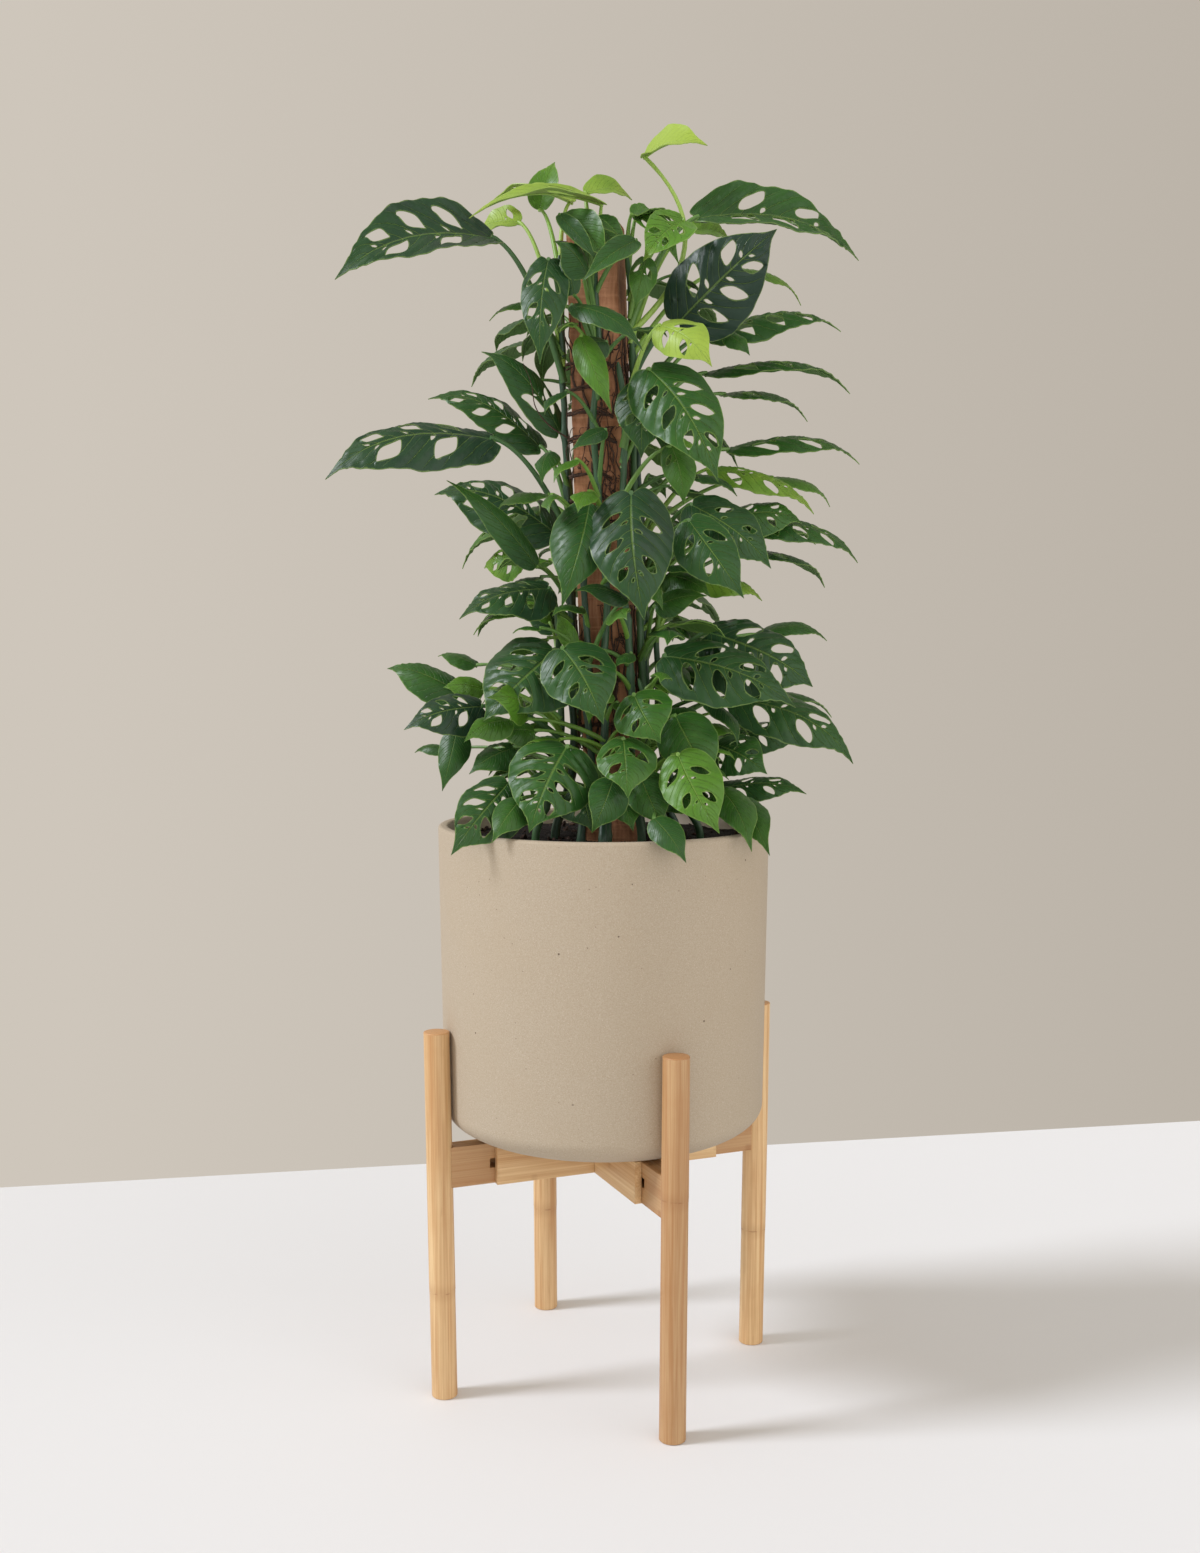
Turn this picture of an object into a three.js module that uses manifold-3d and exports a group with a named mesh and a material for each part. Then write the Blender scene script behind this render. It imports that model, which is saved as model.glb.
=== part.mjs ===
// A swiss cheese vine on a rough timber post, in a sand-coloured pot on an adjustable
// four-legged bamboo stand. Millimetres, +Z up. The origin is on the pot's axis at floor
// level, +X is the right of the front view and -Y faces the viewer.
import * as THREE from 'three';
import { mergeVertices } from 'three/addons/utils/BufferGeometryUtils.js';
import Module from 'manifold-3d';

const wasm = await Module();
wasm.setup();

// Driving dimensions of the stand
const seatGap = 0.3;
const legRadius = 12.5;
const legHeight = 362;
const legFootCircle = 168;
const legLean = 5.5;
const legTopEase = 1.2;
const legSides = 18;
const frontLegTurn = -67.8;
const beamHeight = 40;
const beamTop = 249;
const beamWidth = 33;
const beamHalfLength = 118;
const beamCoreHalf = 30;
const armWidth = 19;
const armInnerEnd = 40;
const armSlotHeight = 9;
const armSlotStart = 44;
const armSlotEnd = 123;
const boltRadius = 3;
const boltReach = 78;
const boltHeadRadius = 6;
const boltHeadHeight = 3.5;
const boltHeadEase = 1.5;
const boltSides = 8;

// Driving dimensions of the pot and its filling
const potBottom = beamTop + seatGap;
const potRim = 556;
const potBodyRadius = 158.6;
const potRimRadius = 163;
const potWall = 10;
const potFloor = 12;
const potCornerAcross = 60;
const potCornerUp = 30;
const potRimEase = 3;
const potSides = 36;
const soilTop = 542;
const soilSides = 20;
const plantingDepth = 24;
const plantingHoleGap = 0.9;
const plantingHoleSides = 6;
const soilGap = 0.6;

// Driving dimensions of the post
const postHalf = 25;
const postTurn = -12;
const postTop = 1137;
const postBottom = 300;
const postLowCentre = new THREE.Vector2(11, 4);
const postHighCentre = new THREE.Vector2(-8, 4);

// Driving dimensions of the plant
const stemRadius = 4.3;
const stemSides = 5;
const stemClearance = 4.2;
const outerStemClearance = 17;
const stalkRadius = 1.7;
const rootRadius = 1.3;
const rootGap = 0.6;
const rootSides = 3;
const bladeThickness = 0.9;
const bladeArch = 0.42;
const bladeFold = 0.13;
const raisedFold = -0.14;
const raisedAbove = 1110;
const bladeWave = 0.022;
const bladeNeck = 1.6;
const bladeClearance = 11;
const stalkClearance = 7;
const settleRounds = 30;
const settleStep = 4;

// The eye that the leaves' places are seen from, level and distance before the axis
const eye = new THREE.Vector3(-3.5, -1650, 737);

const rad = THREE.MathUtils.degToRad;

// Solids and meshes

// One closed solid from a three.js geometry, with shared corners merged
function solid(geometry) {
  const plain = geometry.clone();
  plain.deleteAttribute('normal');
  plain.deleteAttribute('uv');
  const merged = mergeVertices(plain, 1e-4);
  const corners = merged.index.array;
  const kept = [];
  for (let i = 0; i < corners.length; i += 3) {
    const [a, b, c] = [corners[i], corners[i + 1], corners[i + 2]];
    if (a !== b && b !== c && c !== a) kept.push(a, b, c);
  }
  return new wasm.Manifold(new wasm.Mesh({
    numProp: 3,
    vertProperties: new Float32Array(merged.attributes.position.array),
    triVerts: new Uint32Array(kept),
  }));
}

// The faces of a solid as a three.js geometry
function facesOf(body) {
  const mesh = body.getMesh();
  const geometry = new THREE.BufferGeometry();
  geometry.setAttribute('position', new THREE.BufferAttribute(mesh.vertProperties, 3));
  geometry.setIndex(new THREE.BufferAttribute(mesh.triVerts, 1));
  geometry.computeVertexNormals();
  return geometry;
}

function box(sizeX, sizeY, sizeZ, x, y, z) {
  return new THREE.BoxGeometry(sizeX, sizeY, sizeZ).translate(x, y, z);
}

// A turned shape about +Z from [radius, height] pairs that start and end on the axis
function turned(profile, sides) {
  const points = profile.map(([r, h]) => new THREE.Vector2(r, h));
  return new THREE.LatheGeometry(points, sides).rotateX(Math.PI / 2);
}

// Rings of corners around a line of points, each turned on from the ring before it
function ringsAlong(points, radius, sides, firstSide) {
  const side = firstSide.clone();
  let last;
  return points.map((point, i) => {
    const before = points[Math.max(i - 1, 0)];
    const after = points[Math.min(i + 1, points.length - 1)];
    const heading = after.clone().sub(before).normalize();
    if (last) side.applyQuaternion(new THREE.Quaternion().setFromUnitVectors(last, heading));
    else side.addScaledVector(heading, -side.dot(heading)).normalize();
    last = heading;
    const up = heading.clone().cross(side);
    return Array.from({ length: sides }, (_, k) => {
      const turn = (2 * Math.PI * (k + 0.5)) / sides;
      return point.clone()
        .addScaledVector(side, radius * Math.cos(turn))
        .addScaledVector(up, radius * Math.sin(turn));
    });
  });
}

// Triangles between rings whose corners are numbered one ring after another
function wallsBetween(ringCount, sides) {
  const index = [];
  for (let i = 0; i + 1 < ringCount; i += 1) {
    for (let k = 0; k < sides; k += 1) {
      const a = i * sides + k;
      const b = i * sides + ((k + 1) % sides);
      index.push(a, b, b + sides, a, b + sides, a + sides);
    }
  }
  return index;
}

// Triangles of a flat cap on the ring whose first corner has the given number
function capFrom(first, sides, flipped) {
  const index = [];
  for (let k = 1; k + 1 < sides; k += 1) {
    index.push(first, first + (flipped ? k + 1 : k), first + (flipped ? k : k + 1));
  }
  return index;
}

// A closed tube along a line of points
function tube(points, radius, sides) {
  const rings = ringsAlong(points, radius, sides, new THREE.Vector3(1, 0.01, 0.02));
  const geometry = new THREE.BufferGeometry().setFromPoints(rings.flat());
  geometry.setIndex([
    ...capFrom(0, sides, true),
    ...wallsBetween(points.length, sides),
    ...capFrom((points.length - 1) * sides, sides, false),
  ]);
  return geometry;
}

const finishes = {
  bamboo: new THREE.MeshStandardMaterial({ color: 0xd7aa73, roughness: 0.55 }),
  steel: new THREE.MeshStandardMaterial({ color: 0x9a9a98, roughness: 0.35, metalness: 1 }),
  pot: new THREE.MeshStandardMaterial({ color: 0xc4b29b, roughness: 0.85 }),
  soil: new THREE.MeshStandardMaterial({ color: 0x1e1916, roughness: 1 }),
  post: new THREE.MeshStandardMaterial({ color: 0xb0704e, roughness: 0.9 }),
  leaf: new THREE.MeshStandardMaterial({ color: 0x2d6a35, roughness: 0.45 }),
  root: new THREE.MeshStandardMaterial({ color: 0x32231c, roughness: 0.9 }),
};

const model = new THREE.Group();

function addPiece(name, geometry, finish, parent = model) {
  const mesh = new THREE.Mesh(geometry, finishes[finish]);
  mesh.name = name;
  parent.add(mesh);
  return mesh;
}

// Stand: four leaning legs, four sliding arms, two crossed beams and their clamp bolts

const legNames = ['front', 'right', 'back', 'left'];
const beamMiddle = beamTop - beamHeight / 2;

// A leg stands along +X of its own turned frame and leans outward towards its top
function legGeometry(radius) {
  const leg = turned([
    [0, 0],
    [radius, 0],
    [radius, legHeight - legTopEase],
    [radius - legTopEase, legHeight],
    [0, legHeight],
  ], legSides);
  const places = leg.attributes.position;
  for (let i = 0; i < places.count; i += 1) {
    const outward = legFootCircle + (legLean * places.getZ(i)) / legHeight;
    places.setX(i, places.getX(i) + outward);
  }
  return leg;
}

// An arm is a plank with a long bolt slot, hollowed at its outer end to meet the round leg
function armGeometry() {
  const length = legFootCircle - armInnerEnd;
  const plank = solid(box(length, armWidth, beamHeight, armInnerEnd + length / 2, 0, beamMiddle));
  const slotLength = armSlotEnd - armSlotStart;
  const slotMiddle = (armSlotEnd + armSlotStart) / 2;
  const slot = solid(box(slotLength, 2 * armWidth, armSlotHeight, slotMiddle, 0, beamMiddle));
  const leg = solid(legGeometry(legRadius + seatGap));
  return facesOf(plank.subtract(slot).subtract(leg));
}

// A beam has a solid core, an open slot for an arm at each end, a half lap and bolt holes
function beamGeometry(lapSide) {
  let beam = solid(box(2 * beamHalfLength, beamWidth, beamHeight, 0, 0, beamMiddle));
  const slotWidth = armWidth + 2 * seatGap;
  const slotLength = beamHalfLength - beamCoreHalf + 1;
  const cheek = (beamWidth - slotWidth) / 2;
  for (const end of [-1, 1]) {
    const middle = end * (beamCoreHalf + slotLength / 2);
    beam = beam.subtract(solid(box(slotLength, slotWidth, 2 * beamHeight, middle, 0, beamMiddle)));
    const holeLength = beamWidth - cheek / 2 + 1;
    const radius = boltRadius + seatGap;
    const hole = new THREE.CylinderGeometry(radius, radius, holeLength, boltSides);
    hole.translate(end * boltReach, cheek / 2 - beamWidth / 2 + holeLength / 2, beamMiddle);
    beam = beam.subtract(solid(hole));
  }
  const lapLength = beamWidth + 2 * seatGap;
  const lapHeight = beamHeight / 2 + seatGap / 2;
  const lapMiddle = beamMiddle + lapSide * (beamHeight / 2 - lapHeight / 2 + 0.5);
  return facesOf(beam.subtract(
    solid(box(lapLength, 2 * beamWidth, lapHeight + 1, 0, 0, lapMiddle)),
  ));
}

// A round-headed bolt about the beam's width, its head on the side away from the viewer
function boltGeometry() {
  const cheek = (beamWidth - armWidth) / 2 - seatGap;
  const start = cheek / 2 - beamWidth / 2 + seatGap;
  const face = beamWidth / 2 + seatGap;
  const profile = [
    [0, start],
    [boltRadius, start],
    [boltRadius, face],
    [boltHeadRadius, face],
    [boltHeadRadius, face + boltHeadHeight - boltHeadEase],
    [boltHeadRadius - boltHeadEase, face + boltHeadHeight],
    [0, face + boltHeadHeight],
  ];
  return new THREE.LatheGeometry(profile.map(([r, h]) => new THREE.Vector2(r, h)), boltSides);
}

function buildStand() {
  legNames.forEach((name, i) => {
    const side = new THREE.Group();
    side.rotation.z = rad(frontLegTurn + 90 * i);
    model.add(side);
    addPiece(`leg_${name}`, legGeometry(legRadius), 'bamboo', side);
    addPiece(`arm_${name}`, armGeometry(), 'bamboo', side);
  });
  [['front', 'back', 1], ['right', 'left', -1]].forEach(([near, far, lapSide], i) => {
    const beam = new THREE.Group();
    beam.rotation.z = rad(frontLegTurn + 90 * i);
    model.add(beam);
    addPiece(`beam_${near}_${far}`, beamGeometry(lapSide), 'bamboo', beam);
    addPiece(`bolt_${near}`, boltGeometry(), 'steel', beam).position.set(boltReach, 0, beamMiddle);
    addPiece(`bolt_${far}`, boltGeometry(), 'steel', beam).position.set(-boltReach, 0, beamMiddle);
  });
}

// Pot and soil

// Points of a quarter ellipse from its lowest point outward and up to the wall
function corner(centreRadius, centreHeight, across, up, steps) {
  const points = [];
  for (let i = 0; i <= steps; i += 1) {
    const turn = (Math.PI / 2) * (i / steps);
    points.push([centreRadius + across * Math.sin(turn), centreHeight - up * Math.cos(turn)]);
  }
  return points;
}

const innerCornerUp = potCornerUp - 6;
const innerFloor = potBottom + potFloor;
const innerFloorRadius = potBodyRadius - potCornerAcross;

function buildPot() {
  const outside = corner(
    potBodyRadius - potCornerAcross, potBottom + potCornerUp, potCornerAcross, potCornerUp, 3,
  );
  const rim = [
    [potRimRadius, potRim - potRimEase],
    [potRimRadius - potRimEase, potRim],
    [potRimRadius - potWall + potRimEase, potRim],
    [potRimRadius - potWall, potRim - potRimEase],
  ];
  const inside = corner(
    innerFloorRadius, innerFloor + innerCornerUp, potCornerAcross - potWall, innerCornerUp, 2,
  ).reverse();
  const profile = [[0, potBottom], ...outside, ...rim, ...inside, [0, innerFloor]];
  addPiece('pot', turned(profile, potSides), 'pot');
}

function buildSoil(vines) {
  const floor = innerFloor + soilGap;
  const across = potCornerAcross - potWall - soilGap;
  const sides = corner(innerFloorRadius, floor + innerCornerUp, across, innerCornerUp, 2);
  const topShare = (soilTop - innerFloor) / (potRim - innerFloor);
  const wallRadius = potBodyRadius - potWall;
  const topRadius = wallRadius + (potRimRadius - potBodyRadius) * topShare - 2 * soilGap;
  let soil = solid(turned([[0, floor], ...sides, [topRadius, soilTop], [0, soilTop]], soilSides));
  soil = soil.subtract(solid(postGeometry(postHalf + seatGap + 0.2, postBottom - 1)));
  for (const vine of vines) {
    const radius = stemRadius + plantingHoleGap;
    const hole = new THREE.CylinderGeometry(radius, radius, 2 * plantingDepth, plantingHoleSides);
    hole.rotateX(Math.PI / 2);
    hole.translate(vine.foot.x, vine.foot.y, soilTop);
    soil = soil.subtract(solid(hole));
  }
  addPiece('soil', facesOf(soil), 'soil');
}

// Post

// The post's centre at a height; it leans a little to the left
function postCentre(height) {
  const share = (height - soilTop) / (postTop - soilTop);
  return postLowCentre.clone().lerp(postHighCentre, share);
}

// A rough-sawn square prism between a bottom height and the post's top
function postGeometry(half, bottom) {
  const height = postTop - bottom;
  const prism = box(2 * half, 2 * half, height, 0, 0, bottom + height / 2).rotateZ(rad(postTurn));
  const places = prism.attributes.position;
  for (let i = 0; i < places.count; i += 1) {
    const centre = postCentre(places.getZ(i));
    places.setX(i, places.getX(i) + centre.x);
    places.setY(i, places.getY(i) + centre.y);
  }
  return prism;
}

// How far the post's side lies from its centre in a given direction
function postReach(direction) {
  const turn = direction - rad(postTurn);
  return postHalf / Math.max(Math.abs(Math.cos(turn)), Math.abs(Math.sin(turn)));
}

// A place beside the post in its own turned frame, x to its right and y to its back
function postPlace(x, y, height) {
  const centre = postCentre(height);
  const offset = new THREE.Vector2(x, y).rotateAround(new THREE.Vector2(), rad(postTurn));
  return new THREE.Vector3(centre.x + offset.x, centre.y + offset.y, height);
}

// Aerial roots: in each group one root climbs the post's front and others clasp its corner
const rootGroups = [
  { name: 'aerial_roots_low', across: 8, clasps: [654, 676, 700, 726] },
  { name: 'aerial_roots_middle', across: -4, clasps: [850, 872, 896] },
  { name: 'aerial_roots_high', across: -10, clasps: [930, 954, 978, 1002] },
];

function buildRoots() {
  const off = postHalf + rootRadius + rootGap;
  for (const { name, across, clasps } of rootGroups) {
    const climb = [clasps[0] - 8, ...clasps.slice(1, -1), clasps.at(-1) + 8].map((height, i) => (
      postPlace(across + (i % 2 ? 4 : -2), -off, height)
    ));
    const pieces = [solid(tube(climb, rootRadius, rootSides))];
    clasps.forEach((height, i) => {
      const start = 20 - 3 * (i % 3);
      const end = 9 - 6 * (i % 2);
      pieces.push(solid(tube([
        postPlace(start, -off, height - 5),
        postPlace(0, -off, height + 2),
        postPlace(-off, -off, height - 2),
        postPlace(-off, end, height + 3),
      ], rootRadius, rootSides)));
    });
    addPiece(name, facesOf(wasm.Manifold.union(pieces)), 'root');
  }
}

// Plant

// A repeatable stream of numbers between 0 and 1
function numberStream(seed) {
  let state = seed;
  return () => {
    state = (state * 16807) % 2147483647;
    return state / 2147483647;
  };
}

// The place on a sight line that is seen at (right, height) in the plane through the
// pot's axis, moved to its own depth behind (+) or before (-) that plane
function seen(right, height, depth) {
  const inPlane = new THREE.Vector3(right, 0, height);
  const share = (depth - eye.y) / -eye.y;
  return inPlane.sub(eye).multiplyScalar(share).add(eye);
}

// Each leaf: height on its stem, then base and tip as seen (right, height, depth), the
// blade's width, how far it faces the viewer in degrees from straight up, its holes, and
// for a long bent stalk the seen place that it bows towards
const vineTable = [
  {
    name: 'vine_left_tall', turn: 192, footOut: 60, top: 1105, leaves: [
      [985, -108, 1124, -20, -260, 1088, -70, 85, 45, 5],
      [1060, -20, 1160, 15, -108, 1159, 45, 42, 24, 2],
      [1080, -62, 1150, 50, -47, 1196, 70, 30, 60, 0],
      [1035, -50, 1103, -60, -60, 1003, -85, 44, 75, 2],
      [1000, -82, 1138, 35, -120, 1130, 65, 38, 45, 1],
    ],
  },
  {
    name: 'vine_post_top', turn: 263, footOut: 58, top: 1120, leaves: [
      [1075, -5, 1149, -32, -130, 1145, -60, 40, 24, 2],
      [1010, -35, 1143, -45, 5, 1095, -75, 30, 55, 0],
      [1060, -16, 1140, -35, 24, 1110, -58, 34, 60, 0],
      [1045, -18, 1088, -60, -46, 1120, -78, 28, 60, 0],
      [1000, -33, 1062, -70, 38, 1018, -95, 30, 45, 0],
      [985, -22, 1030, -70, 8, 958, -95, 28, 65, 0],
      [1095, -18, 1161, 5, 28, 1160, 20, 30, 35, 0],
    ],
  },
  {
    name: 'vine_right_tall', turn: -30, footOut: 60, top: 1105, leaves: [
      [1030, 38, 1200, 0, 99, 1212, -30, 48, 40, 0, [125, 1120]],
      [1035, 92, 1143, -10, 248, 1106, 40, 82, 40, 5],
      [985, 72, 1043, -30, 167, 1132, -55, 82, 88, 5],
      [1090, 20, 1143, -15, 66, 1140, -5, 34, 30, 0],
      [1060, 78, 1140, -45, 38, 1102, -70, 44, 65, 2],
      [1020, 85, 1130, 30, 122, 1122, 45, 38, 42, 0],
      [1005, 130, 1094, 45, 192, 1061, 80, 32, 22, 0],
    ],
  },
  {
    name: 'vine_right_upper', turn: -3, footOut: 62, top: 1045, leaves: [
      [960, 105, 1032, 20, 230, 1038, 45, 60, 28, 4],
      [950, 118, 1034, -12, 142, 1012, -22, 20, 50, 0],
      [930, 100, 995, 40, 240, 979, 80, 50, 18, 3],
      [920, 118, 975, 60, 199, 951, 105, 38, 16, 2],
      [860, 122, 922, 30, 250, 911, 60, 50, 20, 2],
    ],
  },
  {
    name: 'vine_front_right', turn: -64, footOut: 58, top: 1000, leaves: [
      [940, 55, 1040, -75, 105, 1002, -110, 46, 70, 1],
      [920, 45, 997, -70, 112, 892, -115, 76, 75, 4],
      [905, 42, 990, -38, 38, 915, -50, 58, 75, 2],
      [845, 26, 880, -85, 40, 757, -125, 80, 88, 5],
      [900, 60, 965, -20, 58, 915, -30, 32, 70, 0],
      [870, 66, 925, -48, 78, 868, -58, 32, 70, 1],
    ],
  },
  {
    name: 'vine_right_mid', turn: 25, footOut: 60, top: 905, leaves: [
      [830, 105, 902, 15, 205, 858, 0, 50, 30, 2],
      [820, 98, 850, -30, 110, 872, -36, 24, 60, 0],
      [840, 165, 895, 60, 222, 868, 90, 26, 22, 0],
      [800, 122, 858, -20, 196, 856, -12, 48, 48, 2],
      [790, 135, 850, 5, 250, 815, 15, 46, 28, 3],
      [780, 138, 846, 40, 208, 832, 60, 36, 25, 0],
      [760, 152, 823, 60, 218, 790, 90, 32, 24, 1],
      [800, 85, 862, -40, 162, 808, -62, 64, 55, 2],
      [785, 88, 850, -72, 138, 778, -100, 55, 75, 1],
    ],
  },
  {
    name: 'vine_front', turn: 236, footOut: 58, top: 870, leaves: [
      [830, -13, 870, -75, -41, 770, -112, 57, 82, 0],
      [690, -42, 728, -85, 0, 655, -118, 70, 65, 1],
    ],
  },
  {
    name: 'vine_left_mid', turn: 164, footOut: 60, top: 905, leaves: [
      [845, -62, 925, 35, -170, 973, 60, 55, 34, 4],
      [855, -40, 940, 0, -118, 1017, 30, 36, 50, 2],
      [830, -110, 933, -30, -272, 897, -75, 75, 37, 5],
      [800, -48, 842, 15, -165, 881, 45, 72, 45, 3],
      [760, -65, 808, -35, -152, 893, -55, 30, 60, 0],
      [765, -78, 816, 60, -118, 808, 85, 45, 50, 2],
    ],
  },
  {
    name: 'vine_left_low', turn: 196, footOut: 80, top: 748, outer: true, leaves: [
      [735, -50, 790, -15, -142, 760, -45, 70, 38, 4],
      [710, -45, 745, 45, -85, 782, 65, 28, 40, 0],
      [680, -45, 730, -50, -118, 660, -92, 92, 65, 5],
      [690, -125, 712, 25, -163, 718, 45, 24, 30, 0],
      [660, -140, 690, 25, -213, 714, 50, 40, 45, 0],
      [655, -118, 690, -5, -158, 691, -10, 26, 55, 0],
      [640, -120, 672, -28, -197, 650, -55, 52, 58, 3],
      [645, -72, 668, -80, -112, 678, -98, 36, 70, 1],
    ],
  },
  {
    name: 'vine_front_low', turn: 262, footOut: 84, top: 690, outer: true, leaves: [
      [600, -150, 630, 35, -187, 627, 50, 16, 35, 0],
      [610, -145, 650, -5, -160, 588, -22, 32, 62, 0],
      [600, -88, 632, -30, -133, 606, -58, 38, 50, 1],
      [625, -68, 648, -45, -108, 644, -55, 30, 50, 0],
      [640, -92, 662, -62, -138, 638, -90, 28, 45, 0],
      [600, -35, 628, -88, -75, 541, -130, 85, 78, 4],
      [590, -92, 598, -90, -150, 525, -145, 62, 60, 3],
      [585, -82, 580, -112, -110, 538, -140, 34, 70, 0],
      [625, 22, 640, -105, 25, 580, -135, 56, 80, 1],
      [595, -18, 592, -95, -10, 546, -118, 45, 65, 1],
      [600, 8, 602, -122, -12, 538, -142, 38, 80, 0],
    ],
  },
  {
    name: 'vine_right_low', turn: 2, footOut: 84, top: 752, outer: true, leaves: [
      [740, 92, 800, 25, 156, 777, 20, 42, 38, 0],
      [735, 60, 800, -20, 105, 780, -45, 40, 55, 0],
      [690, 105, 745, -20, 207, 693, -40, 88, 50, 5],
      [670, 60, 722, -55, 190, 673, -82, 75, 50, 3],
      [670, 82, 702, 20, 182, 710, 40, 48, 40, 1],
      [680, 150, 742, 70, 220, 738, 100, 24, 25, 0],
      [640, 128, 684, 0, 248, 617, -15, 62, 42, 2],
      [650, 148, 682, 50, 226, 663, 80, 32, 28, 1],
    ],
  },
  {
    name: 'vine_right_foot', turn: -58, footOut: 84, top: 700, outer: true, leaves: [
      [640, 30, 682, -95, 56, 634, -122, 58, 78, 1],
      [625, 72, 660, -85, 108, 598, -120, 58, 72, 0],
      [600, 70, 622, -108, 113, 543, -148, 58, 80, 2],
      [610, 118, 640, 35, 198, 638, 55, 48, 40, 4],
      [605, 112, 635, -30, 162, 606, -58, 52, 60, 2],
      [590, 118, 592, 0, 201, 587, -12, 42, 38, 2],
      [590, 36, 602, -100, 58, 553, -130, 42, 75, 0],
      [570, 52, 562, -130, 82, 516, -172, 30, 60, 0],
      [580, 112, 592, -70, 138, 530, -118, 40, 60, 0],
      [575, 122, 575, -35, 146, 522, -92, 36, 60, 0],
      [585, 60, 590, -80, 108, 562, -98, 36, 50, 0],
      [590, 15, 590, -92, 28, 546, -118, 34, 75, 0],
    ],
  },
];

// The vines behind the post carry leaves by rule: height on the stem first, then a
// direction that swings from side to side, a stalk, and a blade that droops at its tip
const backVines = [
  { name: 'vine_back_left', turn: 115, footOut: 60, top: 1070, seed: 4127, from: 600, to: 1040, count: 7 },
  { name: 'vine_back_right', turn: 62, footOut: 60, top: 1070, seed: 9311, from: 620, to: 1050, count: 7 },
];

// Stem places from the planting hole up the post's side, swaying a little as it climbs;
// the lower vines climb outside the taller ones
function stemPath(vine) {
  const { foot } = vine;
  const turn = rad(vine.turn);
  const clearance = vine.outer ? outerStemClearance : stemClearance;
  const points = [
    new THREE.Vector3(foot.x, foot.y, soilTop - plantingDepth + 1),
    new THREE.Vector3(foot.x, foot.y, soilTop + 8),
  ];
  const climbFrom = soilTop + 80;
  const rises = vine.outer ? 3 : 5;
  for (let i = 0; i <= rises; i += 1) {
    const height = climbFrom + ((vine.top - climbFrom) * i) / rises;
    const sway = turn + 0.04 * Math.sin(2.1 * i + vine.turn);
    const out = postReach(sway) + stemRadius + clearance + (i === 0 ? 3 : 0);
    const centre = postCentre(height);
    points.push(new THREE.Vector3(
      centre.x + out * Math.cos(sway),
      centre.y + out * Math.sin(sway),
      height,
    ));
  }
  const onTheWay = points[1].clone().lerp(points[2], 0.5);
  onTheWay.z -= 6;
  points.splice(2, 0, onTheWay);
  return points;
}

// The place on a stem at a height
function stemAt(points, height) {
  const next = points.findIndex((point) => point.z >= height);
  const [low, high] = [points[next - 1], points[next]];
  return low.clone().lerp(high, (height - low.z) / (high.z - low.z));
}

function facingNormal(facing) {
  return new THREE.Vector3(0, -Math.sin(rad(facing)), Math.cos(rad(facing)));
}

// Where a stalk's curve bends: it rises steeply first and then reaches out to the blade
function stalkBend(start, base, via) {
  if (via) return seen(via[0], via[1], base.y);
  const reach = base.clone().sub(start);
  const rise = 0.3 * reach.z + 0.1 * reach.length();
  return start.clone().addScaledVector(reach, 0.5).add(new THREE.Vector3(0, 0, rise));
}

function listedLeaf(vine, row) {
  const [climb, right, height, depth, tipRight, tipHeight, tipDepth, width, facing, holes, via] = row;
  const start = stemAt(vine.path, climb);
  const base = seen(right, height, depth);
  return {
    vine,
    start,
    bend: stalkBend(start, base, via),
    base,
    tip: seen(tipRight, tipHeight, tipDepth),
    width,
    up: facingNormal(facing),
    fold: height > raisedAbove ? raisedFold : bladeFold,
    holes,
  };
}

function ruledLeaves(vine) {
  const draw = numberStream(vine.seed);
  const leaves = [];
  for (let i = 0; i < vine.count; i += 1) {
    const climb = vine.from + ((vine.to - vine.from) * (i + 0.4 * draw())) / (vine.count - 1);
    const swing = rad(vine.turn + (i % 2 ? 34 : -34) + 24 * (draw() - 0.5));
    const out = new THREE.Vector3(Math.cos(swing), Math.sin(swing), 0);
    const length = 80 + 28 * draw();
    const stalk = 40 + 22 * draw();
    const start = stemAt(vine.path, climb);
    const base = start.clone().addScaledVector(out, stalk);
    base.z += 28 + 22 * draw();
    const tip = base.clone().addScaledVector(out, length * 0.9);
    tip.z -= length * (0.25 + 0.35 * draw());
    leaves.push({
      vine,
      start,
      bend: stalkBend(start, base),
      base,
      tip,
      width: 0.52 * length,
      up: new THREE.Vector3(0.5 * out.x, 0.5 * out.y, 1),
      fold: bladeFold,
      holes: 2,
    });
  }
  return leaves;
}

// Blade: u runs from 0 at the base to 1 at the tip, v across in half widths

const outlineBySize = {
  small: [[0.02, 0.5], [0.16, 0.9], [0.38, 1], [0.62, 0.74], [0.83, 0.34]],
  medium: [[-0.03, 0.34], [0.07, 0.76], [0.25, 0.98], [0.46, 0.96], [0.67, 0.68], [0.86, 0.28]],
  large: [[-0.04, 0.3], [0.03, 0.66], [0.16, 0.93], [0.34, 1], [0.54, 0.87], [0.73, 0.58], [0.89, 0.22]],
};
const midribBySize = {
  small: [0.35, 0.7, 1],
  medium: [0.28, 0.62, 1],
  large: [0.25, 0.5, 0.75, 1],
};

function sizeOf(leaf) {
  if (leaf.holes >= 4) return 'large';
  return leaf.holes >= 1 ? 'medium' : 'small';
}

// The outline's half width at u, between its listed points
function halfWidthAt(outline, u) {
  const points = [...outline, [1, 0]];
  for (let i = 1; i < points.length; i += 1) {
    const [u0, v0] = points[i - 1];
    const [u1, v1] = points[i];
    if (u <= u1) return v0 + ((v1 - v0) * (u - u0)) / (u1 - u0);
  }
  return 0;
}

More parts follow.
